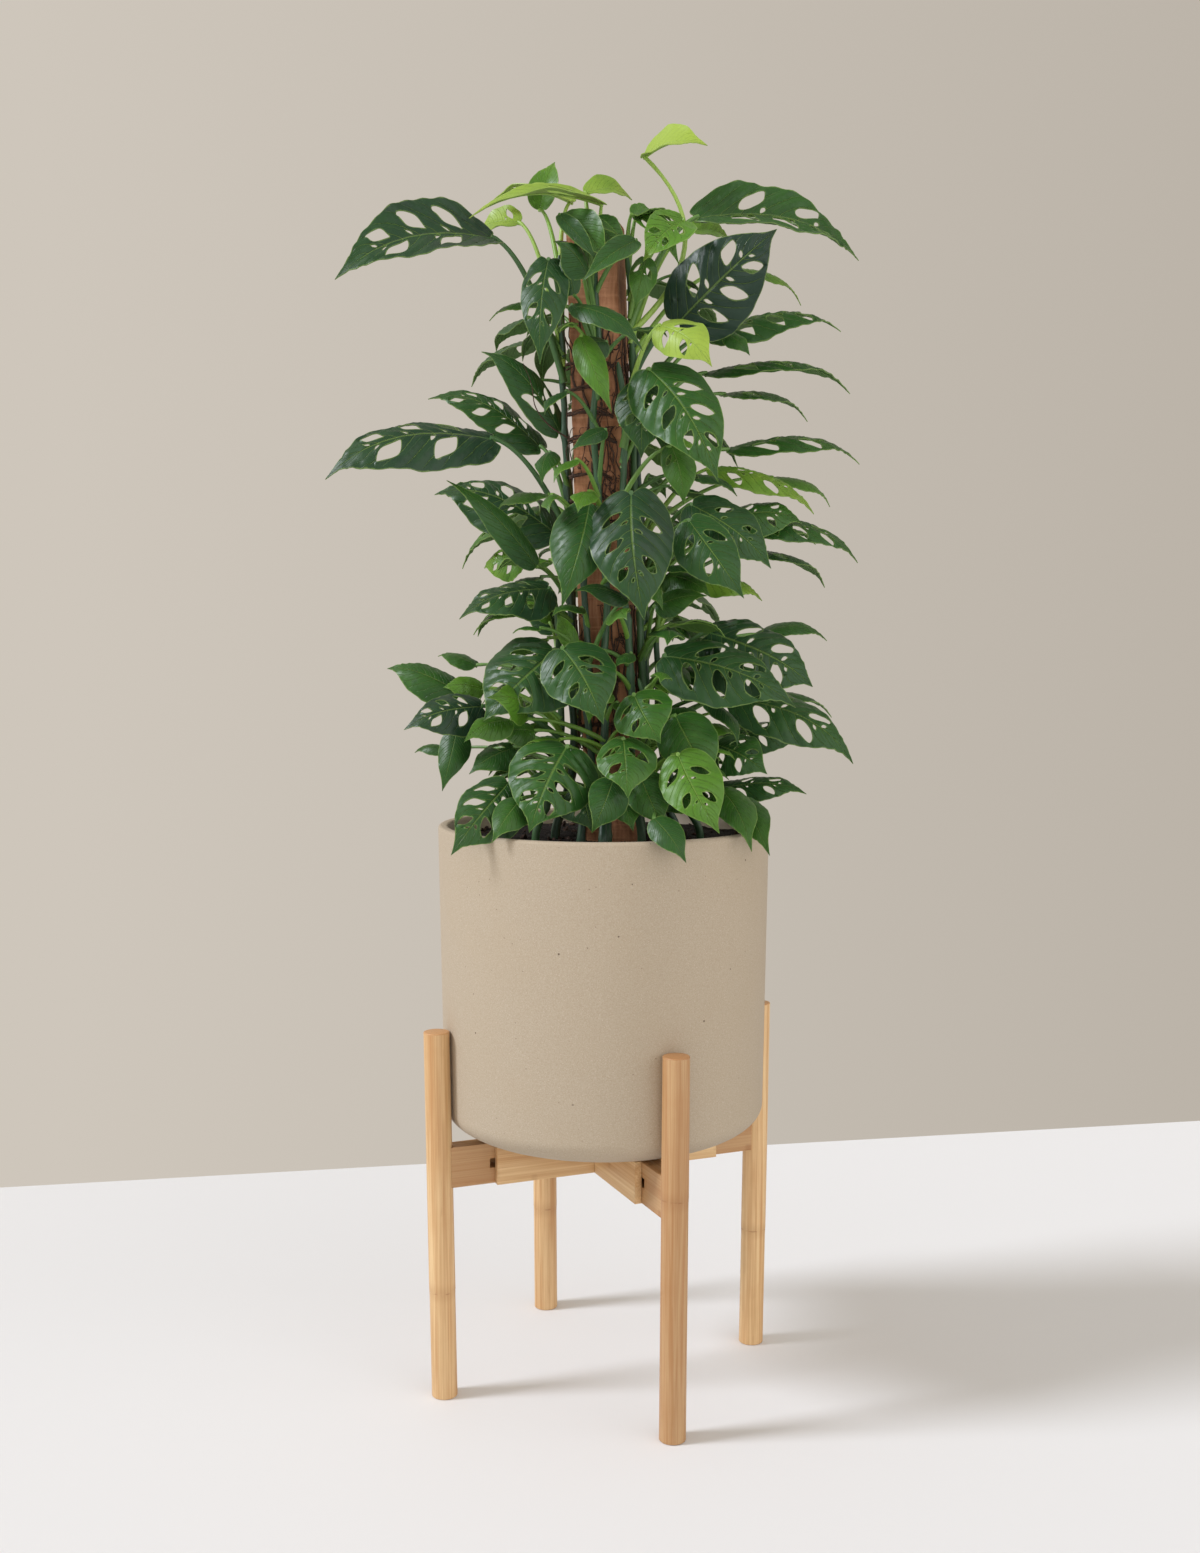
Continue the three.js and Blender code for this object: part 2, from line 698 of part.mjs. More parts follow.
// A hole's four corners: how far each lies from its middle along the blade, in half lengths,
// and its share of the way from the midrib to the edge
const lozenge = [[-0.4, 0.22], [1.1, 0.4], [1.5, 0.74], [-0.2, 0.52]];

// A blade's holes on one side: slanted lozenges between the side veins, from the midrib out
function holesOnSide(leaf, outline, side) {
  const count = side > 0 ? Math.ceil(leaf.holes / 2) : Math.floor(leaf.holes / 2);
  const holes = [];
  for (let i = 0; i < count; i += 1) {
    const u = 0.19 + (0.5 * i) / Math.max(count - 1, 1) + (side > 0 ? 0 : 0.06);
    const half = 0.24 / (count + 1) + 0.012;
    holes.push(lozenge.map(([reach, share]) => {
      const a = u + reach * half;
      return [a, side * share * halfWidthAt(outline, a)];
    }));
  }
  return holes;
}

// Frame of a blade: along its chord, out of its upper face, and across to its side
function bladeFrame(leaf) {
  const chord = leaf.tip.clone().sub(leaf.base);
  const length = chord.length();
  const along = chord.clone().divideScalar(length);
  const out = leaf.up.clone().addScaledVector(along, -leaf.up.dot(along)).normalize();
  const across = along.clone().cross(out);
  return { length, along, out, across };
}

// The place of (u, v) on an arched, folded and waved blade. The topmost blades fold upward
function bladePlace(leaf, frame, u, v) {
  const y = (v * leaf.width) / 2;
  const arch = bladeArch * frame.length * u * (1 - u);
  const fold = -leaf.fold * leaf.width * Math.abs(v) ** 1.6;
  const wave = bladeWave * leaf.width * v * v * Math.sin(9 * u + 2 * leaf.width);
  return leaf.base.clone()
    .addScaledVector(frame.along, u * frame.length)
    .addScaledVector(frame.across, y)
    .addScaledVector(frame.out, arch + fold + wave);
}

// Leaves are bent clear of each other, of the stems, the post and the pot, mostly fore
// and aft so that their places in the front view stay

const bladeShares = [];
for (const u of [0, 0.14, 0.28, 0.42, 0.56, 0.7, 0.84, 1]) {
  for (const share of [-1, -0.6, -0.2, 0.2, 0.6, 1]) bladeShares.push([u, share]);
}
const stalkShares = [0.35, 0.5, 0.65, 0.8, 0.92];
const foreAndAft = new THREE.Vector3(0.45, 1, 0.45);

function samplesOf(leaf) {
  const frame = bladeFrame(leaf);
  const outline = outlineBySize[sizeOf(leaf)];
  const samples = [];
  for (const t of stalkShares) {
    samples.push({ place: stalkPlace(leaf, t), bend: 2 * t * (1 - t), base: t * t, tip: 0 });
  }
  for (const [u, share] of bladeShares) {
    const v = share * halfWidthAt(outline, Math.max(u, outline[0][0]));
    samples.push({ place: bladePlace(leaf, frame, u, v), bend: 0, base: 1 - u, tip: u });
  }
  return samples;
}

// Places along a stem, a stem's thickness apart
function stemSamples(vine) {
  const samples = [];
  for (let height = soilTop + 8; height < vine.top; height += 2 * stemRadius) {
    samples.push({ vine, place: stemAt(vine.path, height) });
  }
  return samples;
}

function addPush(pushes, sample, direction, amount) {
  const push = direction.clone().multiply(foreAndAft).multiplyScalar(amount);
  pushes.bend.addScaledVector(push, sample.bend);
  pushes.base.addScaledVector(push, sample.base);
  pushes.tip.addScaledVector(push, sample.tip);
}

// Pushes from the post, the soil and the pot's wall on one sample
function pushFromHolder(pushes, sample) {
  const { place } = sample;
  const centre = postCentre(place.z);
  const offset = new THREE.Vector2(place.x - centre.x, place.y - centre.y);
  const turn = -rad(postTurn);
  const local = offset.clone().rotateAround(new THREE.Vector2(), turn);
  const clearance = sample.bend > 0 ? stalkClearance : bladeClearance;
  const inside = postHalf + clearance - Math.max(Math.abs(local.x), Math.abs(local.y));
  if (inside > 0 && place.z < postTop + bladeClearance) {
    const away = new THREE.Vector3(offset.x, offset.y, 0).normalize();
    addPush(pushes, sample, away, inside);
  }
  const radius = Math.hypot(place.x, place.y);
  const away = new THREE.Vector3(place.x / radius, place.y / radius, 0);
  const outer = potRimRadius + bladeClearance;
  if (radius > potRimRadius - 2 * potWall && radius < outer && place.z < potRim - 2) {
    addPush(pushes, sample, away, outer - radius);
  }
  const level = radius < outer ? potRim + 5 : 0;
  if (radius <= potRimRadius - 2 * potWall && place.z < soilTop + bladeClearance) {
    addPush(pushes, sample, new THREE.Vector3(0, 0, 2), soilTop + bladeClearance - place.z);
  } else if (radius < potRimRadius + 2 && place.z < level && place.z >= potRim - 2) {
    addPush(pushes, sample, new THREE.Vector3(0, 0, 2), level - place.z);
  }
}

function settleLeaves(leaves, stems) {
  for (let round = 0; round < settleRounds; round += 1) {
    const all = leaves.map(samplesOf);
    const pushes = leaves.map(() => ({
      bend: new THREE.Vector3(),
      base: new THREE.Vector3(),
      tip: new THREE.Vector3(),
    }));
    const spans = all.map((samples) => {
      const bounds = new THREE.Box3().setFromPoints(samples.map((sample) => sample.place));
      return bounds.expandByScalar(bladeClearance);
    });
    for (let i = 0; i < leaves.length; i += 1) {
      for (const sample of all[i]) pushFromHolder(pushes[i], sample);
      for (const sample of all[i]) {
        for (const stem of stems) {
          if (sample.bend > 0 && stem.vine === leaves[i].vine) continue;
          const apart = sample.place.clone().sub(stem.place);
          const distance = apart.length();
          if (distance < bladeClearance) {
            addPush(pushes[i], sample, apart.divideScalar(distance), bladeClearance - distance);
          }
        }
      }
      for (let j = i + 1; j < leaves.length; j += 1) {
        if (!spans[i].intersectsBox(spans[j])) continue;
        for (const one of all[i]) {
          if (!spans[j].containsPoint(one.place)) continue;
          for (const other of all[j]) {
            const distance = one.place.distanceTo(other.place);
            if (distance < bladeClearance) {
              const apart = one.place.clone().sub(other.place).divideScalar(distance + 1e-9);
              const amount = (bladeClearance - distance) / 2;
              addPush(pushes[i], one, apart, amount);
              addPush(pushes[j], other, apart.clone().negate(), amount);
            }
          }
        }
      }
    }
    leaves.forEach((leaf, i) => {
      for (const handle of ['bend', 'base', 'tip']) {
        const push = pushes[i][handle];
        push.multiplyScalar(0.5).clampLength(0, settleStep);
        leaf[handle].add(push);
      }
    });
  }
}

// Leaf solid: both halves of the blade are split into triangles in (u, v), alike on both
// faces, and the stalk's last ring is the blade's own base edge

function leafGeometry(leaf) {
  const size = sizeOf(leaf);
  const outline = outlineBySize[size];
  const frame = bladeFrame(leaf);
  const neck = (bladeNeck * stalkRadius) / leaf.width;
  const flat = [[0, neck], [0, -neck]];
  const numberOf = new Map(flat.map((point, i) => [point.join(), i]));
  function numbered(point) {
    const key = point.join();
    if (!numberOf.has(key)) {
      numberOf.set(key, flat.length);
      flat.push(point);
    }
    return numberOf.get(key);
  }
  const midrib = midribBySize[size].map((u) => [u, 0]);
  const rims = [1, -1].map((side) => outline.map(([u, v]) => [u, side * v]));
  const contours = [
    [flat[0], ...midrib, ...[...rims[0]].reverse()],
    [flat[0], ...midrib, ...[...rims[1]].reverse(), flat[1]],
  ];
  const triangles = [];
  const loops = [];
  contours.forEach((contour, i) => {
    const holes = holesOnSide(leaf, outline, i === 0 ? 1 : -1);
    const toVectors = (loop) => loop.map(([u, v]) => new THREE.Vector2(u, v));
    const numbers = [contour, ...holes].flat().map(numbered);
    for (const face of THREE.ShapeUtils.triangulateShape(toVectors(contour), holes.map(toVectors))) {
      triangles.push(facingUp(face.map((k) => numbers[k]), flat));
    }
    for (const hole of holes) loops.push([...hole, hole[0]].map(numbered));
  });
  loops.push([flat[0], ...rims[0], midrib.at(-1), ...[...rims[1]].reverse(), flat[1]].map(numbered));
  const tops = flat.map(([u, v]) => bladePlace(leaf, frame, u, v));
  const lows = tops.map((place) => place.clone().addScaledVector(frame.out, -bladeThickness));
  const count = flat.length;
  const index = [];
  for (const [a, b, c] of triangles) index.push(a, b, c, a + count, c + count, b + count);
  const edges = new Set(triangles.flatMap(([a, b, c]) => [`${a},${b}`, `${b},${c}`, `${c},${a}`]));
  for (const loop of loops) {
    for (let k = 0; k + 1 < loop.length; k += 1) {
      let [a, b] = [loop[k], loop[k + 1]];
      if (!edges.has(`${a},${b}`)) [a, b] = [b, a];
      index.push(b, a, a + count, b, a + count, b + count);
    }
  }
  const rings = stalkRings(leaf, frame);
  const start = 2 * count;
  const stalkIndex = [...wallsBetween(rings.length, 4), ...capFrom(4 * (rings.length - 1), 4, false)];
  index.push(...stalkIndex.map((k) => k + start));
  const baseNumbers = [0, 1, 1 + count, count];
  for (let k = 0; k < 4; k += 1) {
    const next = (k + 1) % 4;
    index.push(baseNumbers[k], baseNumbers[next], start + next, baseNumbers[k], start + next, start + k);
  }
  const geometry = new THREE.BufferGeometry();
  geometry.setFromPoints([...tops, ...lows, ...rings.flat()]);
  geometry.setIndex(index);
  return geometry;
}

// A triangle of numbered (u, v) corners, ordered so that it faces out of the upper side
function facingUp([a, b, c], flat) {
  const [ua, va] = flat[a];
  const [ub, vb] = flat[b];
  const [uc, vc] = flat[c];
  const area = (ub - ua) * (vc - va) - (uc - ua) * (vb - va);
  return area < 0 ? [a, b, c] : [a, c, b];
}

// Shares of the stalk's curve that carry a ring, from the blade back to the stem
const longStalkSteps = [0.72, 0.38, 0];
const shortStalkSteps = [0.5, 0];
const longStalk = 110;

function stalkPlace(leaf, t) {
  return leaf.start.clone().multiplyScalar((1 - t) ** 2)
    .addScaledVector(leaf.bend, 2 * t * (1 - t))
    .addScaledVector(leaf.base, t * t);
}

// Four-cornered rings from just before the blade to inside the stem
function stalkRings(leaf, frame) {
  const steps = leaf.base.distanceTo(leaf.start) > longStalk ? longStalkSteps : shortStalkSteps;
  const points = [leaf.base, ...steps.map((t) => stalkPlace(leaf, t))];
  const away = frame.along.clone().negate();
  const heading = points[1].clone().sub(points[0]).normalize();
  const turn = new THREE.Quaternion().setFromUnitVectors(away, heading);
  const side = frame.across.clone().applyQuaternion(turn);
  return ringsAlong(points, stalkRadius * Math.SQRT2, 4, side).slice(1);
}

function buildVines() {
  const vines = [...vineTable, ...backVines];
  for (const vine of vines) {
    const centre = postCentre(soilTop);
    const turn = rad(vine.turn);
    vine.foot = {
      x: centre.x + vine.footOut * Math.cos(turn),
      y: centre.y + vine.footOut * Math.sin(turn),
    };
    vine.path = stemPath(vine);
  }
  const leaves = vines.flatMap((vine) => (
    vine.leaves ? vine.leaves.map((row) => listedLeaf(vine, row)) : ruledLeaves(vine)
  ));
  settleLeaves(leaves, vines.flatMap(stemSamples));
  for (const vine of vines) {
    const pieces = [solid(tube(vine.path, stemRadius, stemSides))];
    for (const leaf of leaves.filter((each) => each.vine === vine)) {
      pieces.push(solid(leafGeometry(leaf)));
    }
    addPiece(vine.name, facesOf(wasm.Manifold.union(pieces)), 'leaf');
  }
  return vines;
}

buildStand();
buildPot();
addPiece('post', postGeometry(postHalf, postBottom), 'post');
buildRoots();
const vines = buildVines();
buildSoil(vines);

export default model;
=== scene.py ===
"""A potted swiss cheese vine on a timber post, in a clay pot on a bamboo stand.

Run as a script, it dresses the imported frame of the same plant. Objects are in metres. The
plant's own rules work in millimetres, as its growing plan does.
"""

import math
from types import SimpleNamespace

import bpy
import numpy as np
from bpy.props import FloatProperty, FloatVectorProperty, IntProperty, PointerProperty
from mathutils import Matrix, Quaternion, Vector, geometry, kdtree, noise


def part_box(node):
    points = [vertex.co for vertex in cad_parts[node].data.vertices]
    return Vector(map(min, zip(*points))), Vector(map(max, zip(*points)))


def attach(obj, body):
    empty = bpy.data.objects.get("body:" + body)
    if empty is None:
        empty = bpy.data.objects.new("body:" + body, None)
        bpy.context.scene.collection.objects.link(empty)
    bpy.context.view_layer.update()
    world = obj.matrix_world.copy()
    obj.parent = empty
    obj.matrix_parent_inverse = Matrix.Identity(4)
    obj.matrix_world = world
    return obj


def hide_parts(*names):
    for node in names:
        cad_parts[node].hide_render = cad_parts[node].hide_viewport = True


bl_info = {
    "name": "Potted swiss cheese vine",
    "version": (1, 0, 0),
    "blender": (4, 5, 0),
    "location": "3D View > Sidebar > Cheese Vine",
    "description": "Builds a climbing swiss cheese vine in its pot and bamboo stand",
    "category": "Add Mesh",
}

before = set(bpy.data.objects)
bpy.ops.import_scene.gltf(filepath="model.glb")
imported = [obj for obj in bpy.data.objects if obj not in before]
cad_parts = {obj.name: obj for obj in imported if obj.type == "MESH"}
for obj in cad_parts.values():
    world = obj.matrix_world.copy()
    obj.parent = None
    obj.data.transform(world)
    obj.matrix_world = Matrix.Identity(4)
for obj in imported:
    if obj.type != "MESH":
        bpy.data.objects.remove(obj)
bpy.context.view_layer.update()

MM = 0.001
PHOTO_WIDTH, PHOTO_HEIGHT = 1200, 1553
SIDES = ("front", "right", "back", "left")
FRONT_TURN = math.radians(-67.8)


def srgb(red, green, blue):
    """A colour given as on a screen, from 0 to 255, as the linear values that shaders use."""
    return tuple(
        value / 12.92 if value <= 0.04045 else ((value + 0.055) / 1.055) ** 2.4
        for value in (red / 255, green / 255, blue / 255)
    )


def colour_property(name, colour, description):
    return FloatVectorProperty(
        name=name, description=description, subtype="COLOR", size=3, min=0, max=1, default=colour
    )


def length_property(name, length, description):
    return FloatProperty(
        name=name, description=description, unit="LENGTH", subtype="DISTANCE", default=length, min=0
    )


class StandSettings(bpy.types.PropertyGroup):
    leg_radius: length_property("Leg radius", 12.5 * MM, "Radius of the round legs")
    foot_circle: length_property("Foot circle", 168 * MM, "Distance of the feet from the axis")
    leg_lean: length_property("Leg lean", 5.5 * MM, "How far a leg's top stands out past its foot")
    edge_ease: length_property("Edge ease", 0.9 * MM, "Rounding of the boards' edges")
    light: colour_property("Light fibre", srgb(235, 203, 153), "Pale fibres of the bamboo")
    dark: colour_property("Dark fibre", srgb(198, 150, 98), "Darker fibres of the bamboo")


class PotSettings(bpy.types.PropertyGroup):
    body_radius: length_property("Body radius", 158.6 * MM, "Radius of the pot above its foot")
    wall: length_property("Wall", 10 * MM, "Thickness of the pot's wall")
    floor: length_property("Floor", 12 * MM, "Thickness of the pot's floor")
    corner_across: length_property("Corner across", 60 * MM, "How far the bottom edge curves in")
    corner_up: length_property("Corner up", 30 * MM, "How far the bottom edge curves up")
    clay: colour_property("Clay", srgb(184, 171, 151), "Colour of the pot's outside")
    inside: colour_property("Inside", srgb(214, 200, 181), "Colour of the pot's inside and rim")
    soil: colour_property("Soil", srgb(38, 30, 25), "Colour of the potting mix")


class PlantSettings(bpy.types.PropertyGroup):
    thickness: length_property("Blade thickness", 0.8 * MM, "Thickness of the leaves")
    shade: colour_property("Old leaf", srgb(30, 56, 40), "Leaves of the oldest growth")
    green: colour_property("Grown leaf", srgb(44, 88, 28), "Leaves in full growth")
    fresh: colour_property("Fresh leaf", srgb(86, 132, 36), "Leaves that have just grown")
    lime: colour_property("Young leaf", srgb(156, 182, 70), "Leaves that have just opened")
    timber: colour_property("Timber", srgb(196, 142, 106), "Colour of the post")
    veins: IntProperty(
        name="Side veins", description="Side veins on each half of a leaf", default=9, min=3, max=20
    )


class StageSettings(bpy.types.PropertyGroup):
    floor: colour_property("Floor", srgb(231, 232, 234), "Colour of the floor")
    backdrop: colour_property("Backdrop", srgb(206, 198, 187), "Colour behind the floor")
    backdrop_right: colour_property("Backdrop right", srgb(187, 179, 168), "Its darker side")
    key: FloatProperty(
        name="Key light", description="Strength of the soft light from the left", default=2.35, min=0
    )
    fill: FloatProperty(
        name="Fill light", description="Strength of the light from the viewer", default=1.7, min=0
    )


# Finishes


def math_step(operation):
    """A method that adds a Math node for a wire's value and any others."""

    def step(self, *others):
        return self.finish.node("ShaderNodeMath", {"operation": operation}, (self, *others))

    return step


class Wire:
    """A value or colour in a finish's nodes. Sums on values add Math nodes."""

    def __init__(self, finish, socket):
        self.finish = finish
        self.socket = socket

    __add__ = __radd__ = math_step("ADD")
    __sub__ = math_step("SUBTRACT")
    __mul__ = __rmul__ = math_step("MULTIPLY")
    __truediv__ = math_step("DIVIDE")
    __pow__ = math_step("POWER")
    __abs__ = math_step("ABSOLUTE")
    part = math_step("FRACT")
    whole = math_step("FLOOR")

    def __rsub__(self, other):
        values = (other, self)
        return self.finish.node("ShaderNodeMath", {"operation": "SUBTRACT"}, values)

    def smooth(self, low, high):
        """0 below low, 1 above high, and a smooth step between them; high may be the lower."""
        return self.finish.node(
            "ShaderNodeMapRange",
            {"interpolation_type": "SMOOTHSTEP"},
            {"Value": self, "From Min": low, "From Max": high},
        )


class Finish:
    """Nodes that are being put together on a new material's shader, or on a new world's."""

    def __init__(self, name, kind="materials", shader="Principled BSDF", space="Object"):
        self.owner = getattr(bpy.data, kind).new(name)
        self.owner.use_nodes = True
        self.tree = self.owner.node_tree
        self.shader = self.tree.nodes[shader]
        self.place = self.node("ShaderNodeTexCoord", output=space)

    def node(self, kind, settings=None, values=(), output=0):
        """A new node with its settings, then its inputs' values or links."""
        made = self.tree.nodes.new(kind)
        for name, value in (settings or {}).items():
            if name == "stops":
                self.set_stops(made.color_ramp, value)
            else:
                setattr(made, name, value)
        self.fill(made, values.items() if isinstance(values, dict) else enumerate(values))
        return Wire(self, made.outputs[output])

    def fill(self, made, values):
        for key, value in values:
            target = made.inputs[key]
            if isinstance(value, Wire):
                self.tree.links.new(value.socket, target)
            elif target.type == "RGBA" and len(value) == 3:
                target.default_value = (*value, 1)
            else:
                target.default_value = value

    def set_stops(self, ramp, stops):
        while len(ramp.elements) < len(stops):
            ramp.elements.new(1)
        for element, (place, colour) in zip(ramp.elements, stops):
            element.position = place
            element.color = (*colour, 1)

    def ramp(self, value, *stops):
        return self.node("ShaderNodeValToRGB", {"stops": stops}, [value])

    def mix(self, share, one, other):
        return self.node("ShaderNodeMix", {"data_type": "RGBA"}, {0: share, 6: one, 7: other}, 2)

    def stretched(self, scale, place=None):
        values = [place or self.place, scale]
        return self.node("ShaderNodeVectorMath", {"operation": "MULTIPLY"}, values)

    def axes(self, place=None):
        split = self.node("ShaderNodeSeparateXYZ", values=[place or self.place]).socket.node
        return [Wire(self, split.outputs[i]) for i in range(3)]

    def noise(self, scale, detail=2.0, roughness=0.5, place=None):
        """Noise with one scale, or with its own scale along each axis."""
        if isinstance(scale, tuple):
            place, scale = self.stretched(scale, place), 1
        values = {"Scale": scale, "Detail": detail, "Roughness": roughness}
        return self.node("ShaderNodeTexNoise", {}, {"Vector": place or self.place, **values})

    def cells(self, scale, output="Distance"):
        values = {"Vector": self.place, "Scale": scale}
        return self.node("ShaderNodeTexVoronoi", {}, values, output)

    def attribute(self, name):
        return self.node("ShaderNodeAttribute", {"attribute_name": name}, output="Fac")

    def bump(self, height, distance, strength=1.0):
        values = {"Strength": strength, "Distance": distance, "Height": height}
        return self.node("ShaderNodeBump", {}, values)

    def done(self, **values):
        """Sets or links the shader's inputs, named in plain words, and gives their owner."""
        for name, value in values.items():
            key = "Specular IOR Level" if name == "specular" else name.replace("_", " ").title()
            self.fill(self.shader, [(key, value)])
        return self.owner


def bamboo_pole_finish(name, ring, painted_shade):
    """Round bamboo with upright fibres, a faint ring at a height, end grain on top and painted shade
    that darkens the leg by its own share.
    """
    look = bpy.context.scene.vine_stand
    finish = Finish(name)
    fibres = finish.noise((620, 620, 9), 3, 0.6)
    streaks = finish.noise((150, 150, 3))
    height = finish.axes()[2] + (finish.noise(90) - 0.5) * 0.0022
    tone = fibres * 0.45 + streaks * 0.55
    colour = finish.mix(tone.smooth(0.34, 0.66), look.light, look.dark)
    dashes = finish.noise((420, 420, 34), 1).smooth(0.68, 0.8)
    colour = finish.mix(dashes * 0.3, colour, srgb(168, 116, 70))
    clouds = finish.noise(22, 3, 0.6)
    colour = finish.mix(clouds.smooth(0.4, 0.8) * 0.25, colour, srgb(196, 144, 92))
    off = abs(height - ring * MM)
    line = off.smooth(0.0012, 0.0002) * finish.noise(160).smooth(0.45, 0.62)
    halo = off.smooth(0.012, 0.001) * 0.3
    colour = finish.mix(line * 0.4 + halo * 0.7, colour, srgb(160, 108, 62))
    end_grain = height.smooth((LEG_HEIGHT - 1.4) * MM, (LEG_HEIGHT - 0.8) * MM)
    pores = finish.cells(700).smooth(0.35, 0.1)
    end = finish.mix(pores * 0.6, srgb(206, 158, 108), srgb(134, 90, 56))
    colour = finish.mix(end_grain, colour, end)
    # Painted shade: the leg is darkened by its own share, the front leg most, for the shade it stands
    # in
    colour = finish.mix(painted_shade, colour, srgb(142, 92, 50))
    relief = finish.bump(fibres - line, 0.0004, 0.4)
    return finish.done(base_color=colour, roughness=fibres * 0.2 + 0.38, normal=relief)


def bamboo_board_finish(name, turn, painted_shade):
    """Laminated bamboo with strips and fibres along a board that is turned about the axis, darkened
    by its share of painted shade.
    """
    look = bpy.context.scene.vine_stand
    finish = Finish(name)
    values = {"Vector": finish.place, "Angle": -turn}
    finish.place = finish.node("ShaderNodeVectorRotate", {}, values)
    along, across, height = finish.axes()
    fibres = finish.noise((7, 640, 640), 3, 0.6)
    streaks = finish.noise((3, 150, 150))
    layer = ((height + 0.5) / (STRIP_HEIGHT * MM)).whole()
    strip = layer + (across / (STRIP_WIDTH * MM) + 9).whole() * 3.7
    shade = (strip * 0.731).part()
    knot = abs((along * 4.2 + shade * 3.1).part() - 0.5).smooth(0.02, 0.004)
    tone = fibres * 0.45 + streaks * 0.45 + shade * 0.1
    colour = finish.mix(tone.smooth(0.3, 0.7), look.light, look.dark)
    dashes = finish.noise((30, 420, 420), 1).smooth(0.66, 0.8)
    colour = finish.mix(dashes * 0.3, colour, srgb(168, 116, 70))
    # Painted shade darkens the arms much more than the beams; the knot lines are the bamboo's own
    colour = finish.mix(knot * 0.16 + painted_shade, colour, srgb(146, 96, 54))
    relief = finish.bump(fibres, 0.0004, 0.4)
    return finish.done(base_color=colour, roughness=fibres * 0.2 + 0.42, normal=relief)


def steel_finish():
    """Dull turned steel."""
    finish = Finish("bolt steel")
    rough = finish.noise((900, 900, 90)) * 0.25 + 0.25
    return finish.done(base_color=srgb(168, 166, 162), metallic=1.0, roughness=rough)


def clay_finish():
    """Sand-coloured clay: fine pale grains, a few dark grains and small open pits."""
    look = bpy.context.scene.vine_pot
    finish = Finish("pot clay")
    grain = finish.noise(900, 2, 0.7)
    mottle = finish.noise(16, 4, 0.55)
    pale = finish.cells(520).smooth(0.2, 0.08)
    colour = finish.mix(grain.smooth(0.3, 0.7), srgb(172, 156, 134), look.clay)
    colour = finish.mix(pale * 0.55, colour, srgb(224, 211, 192))
    colour = finish.mix(mottle.smooth(0.35, 0.75) * 0.2, colour, srgb(176, 158, 132))
    pit_chance = finish.axes(finish.cells(75, "Color"))[0]
    pit = finish.cells(75).smooth(0.085, 0.05) * pit_chance.smooth(0.86, 0.89)
    fleck_chance = finish.axes(finish.cells(210, "Color"))[1]
    fleck = finish.cells(210).smooth(0.16, 0.1) * fleck_chance.smooth(0.95, 0.97)
    level = [finish.stretched((1, 1, 0))]
    across = finish.node("ShaderNodeVectorMath", {"operation": "LENGTH"}, level, "Value")
    within = across.smooth((INSIDE_RADIUS + 1) * MM, (INSIDE_RADIUS - 1) * MM)
    inside = within * finish.axes()[2].smooth(INSIDE_LEVEL * MM, (INSIDE_LEVEL + 10) * MM)
    colour = finish.mix(inside, colour, look.inside)
    colour = finish.mix(pit * 0.8 + fleck * 0.5, colour, srgb(92, 74, 56))
    relief = finish.bump(grain * 0.5 + mottle * 0.6 - pit * 3 - pale * 0.2, 0.0005, 0.6)
    return finish.done(base_color=colour, roughness=grain * 0.1 + 0.78, normal=relief)


def soil_finish():
    """Nearly black crumbs with a few browner clumps."""
    finish = Finish("potting mix")
    crumbs = finish.noise(260, 4, 0.7)
    clumps = finish.noise(60, 3, 0.6)
    soil = bpy.context.scene.vine_pot.soil
    colour = finish.mix(crumbs.smooth(0.4, 0.7), srgb(18, 14, 12), soil)
    colour = finish.mix(clumps.smooth(0.6, 0.75) * 0.5, colour, srgb(66, 46, 34))
    relief = finish.bump(crumbs + clumps, 0.004)
    return finish.done(base_color=colour, roughness=0.92, specular=0.25, normal=relief)


def bark_finish():
    """Dark brown bark with a lengthwise grain."""
    finish = Finish("bark chips")
    grain = finish.noise((300, 90, 300), 3, 0.6)
    stops = (0.3, srgb(30, 22, 17)), (0.6, srgb(66, 44, 32)), (0.8, srgb(98, 66, 46))
    relief = finish.bump(grain, 0.001)
    return finish.done(base_color=finish.ramp(grain, *stops), roughness=0.9, normal=relief)


def timber_finish():
    """Rough-sawn reddish timber: upright grain, cross saw marks, dark stains and cracks."""
    finish = Finish("post timber")
    warp = (finish.noise(14) - 0.5) * 0.02
    side, depth, height = finish.axes()
    bent = finish.node("ShaderNodeCombineXYZ", values=[side + warp, depth + warp, height])
    grain = finish.noise((260, 260, 7), 4, 0.6, bent)
    bands = finish.noise((60, 60, 2.2), place=bent)
    saw = finish.noise((18, 18, 420))
    stains = finish.noise((24, 24, 8), 4, 0.65)
    crack = finish.noise((120, 120, 3), place=bent).smooth(0.68, 0.76)
    streaks = (grain * 0.6 + bands * 0.4).smooth(0.3, 0.7)
    colour = finish.mix(streaks, bpy.context.scene.vine_plant.timber, srgb(148, 98, 68))
    colour = finish.mix(saw.smooth(0.5, 0.8) * 0.35, colour, srgb(222, 168, 128))
    colour = finish.mix(stains.smooth(0.5, 0.7) * 0.68, colour, srgb(84, 54, 38))
    colour = finish.mix(crack * 0.8, colour, srgb(58, 36, 26))
    relief = finish.bump(grain * 0.7 + saw * 0.6 - crack * 2, 0.0012)
    return finish.done(base_color=colour, roughness=0.86, specular=0.25, normal=relief)


def root_finish():
    """Brown root skin with fine rings."""
    finish = Finish("aerial root")
    grain = finish.noise(420, 3, 0.6)
    colour = finish.ramp(grain, (0.3, srgb(40, 28, 22)), (0.7, srgb(88, 62, 46)))
    relief = finish.bump(grain + finish.noise((60, 60, 700), 1), 0.0005)
    return finish.done(base_color=colour, roughness=0.85, normal=relief)


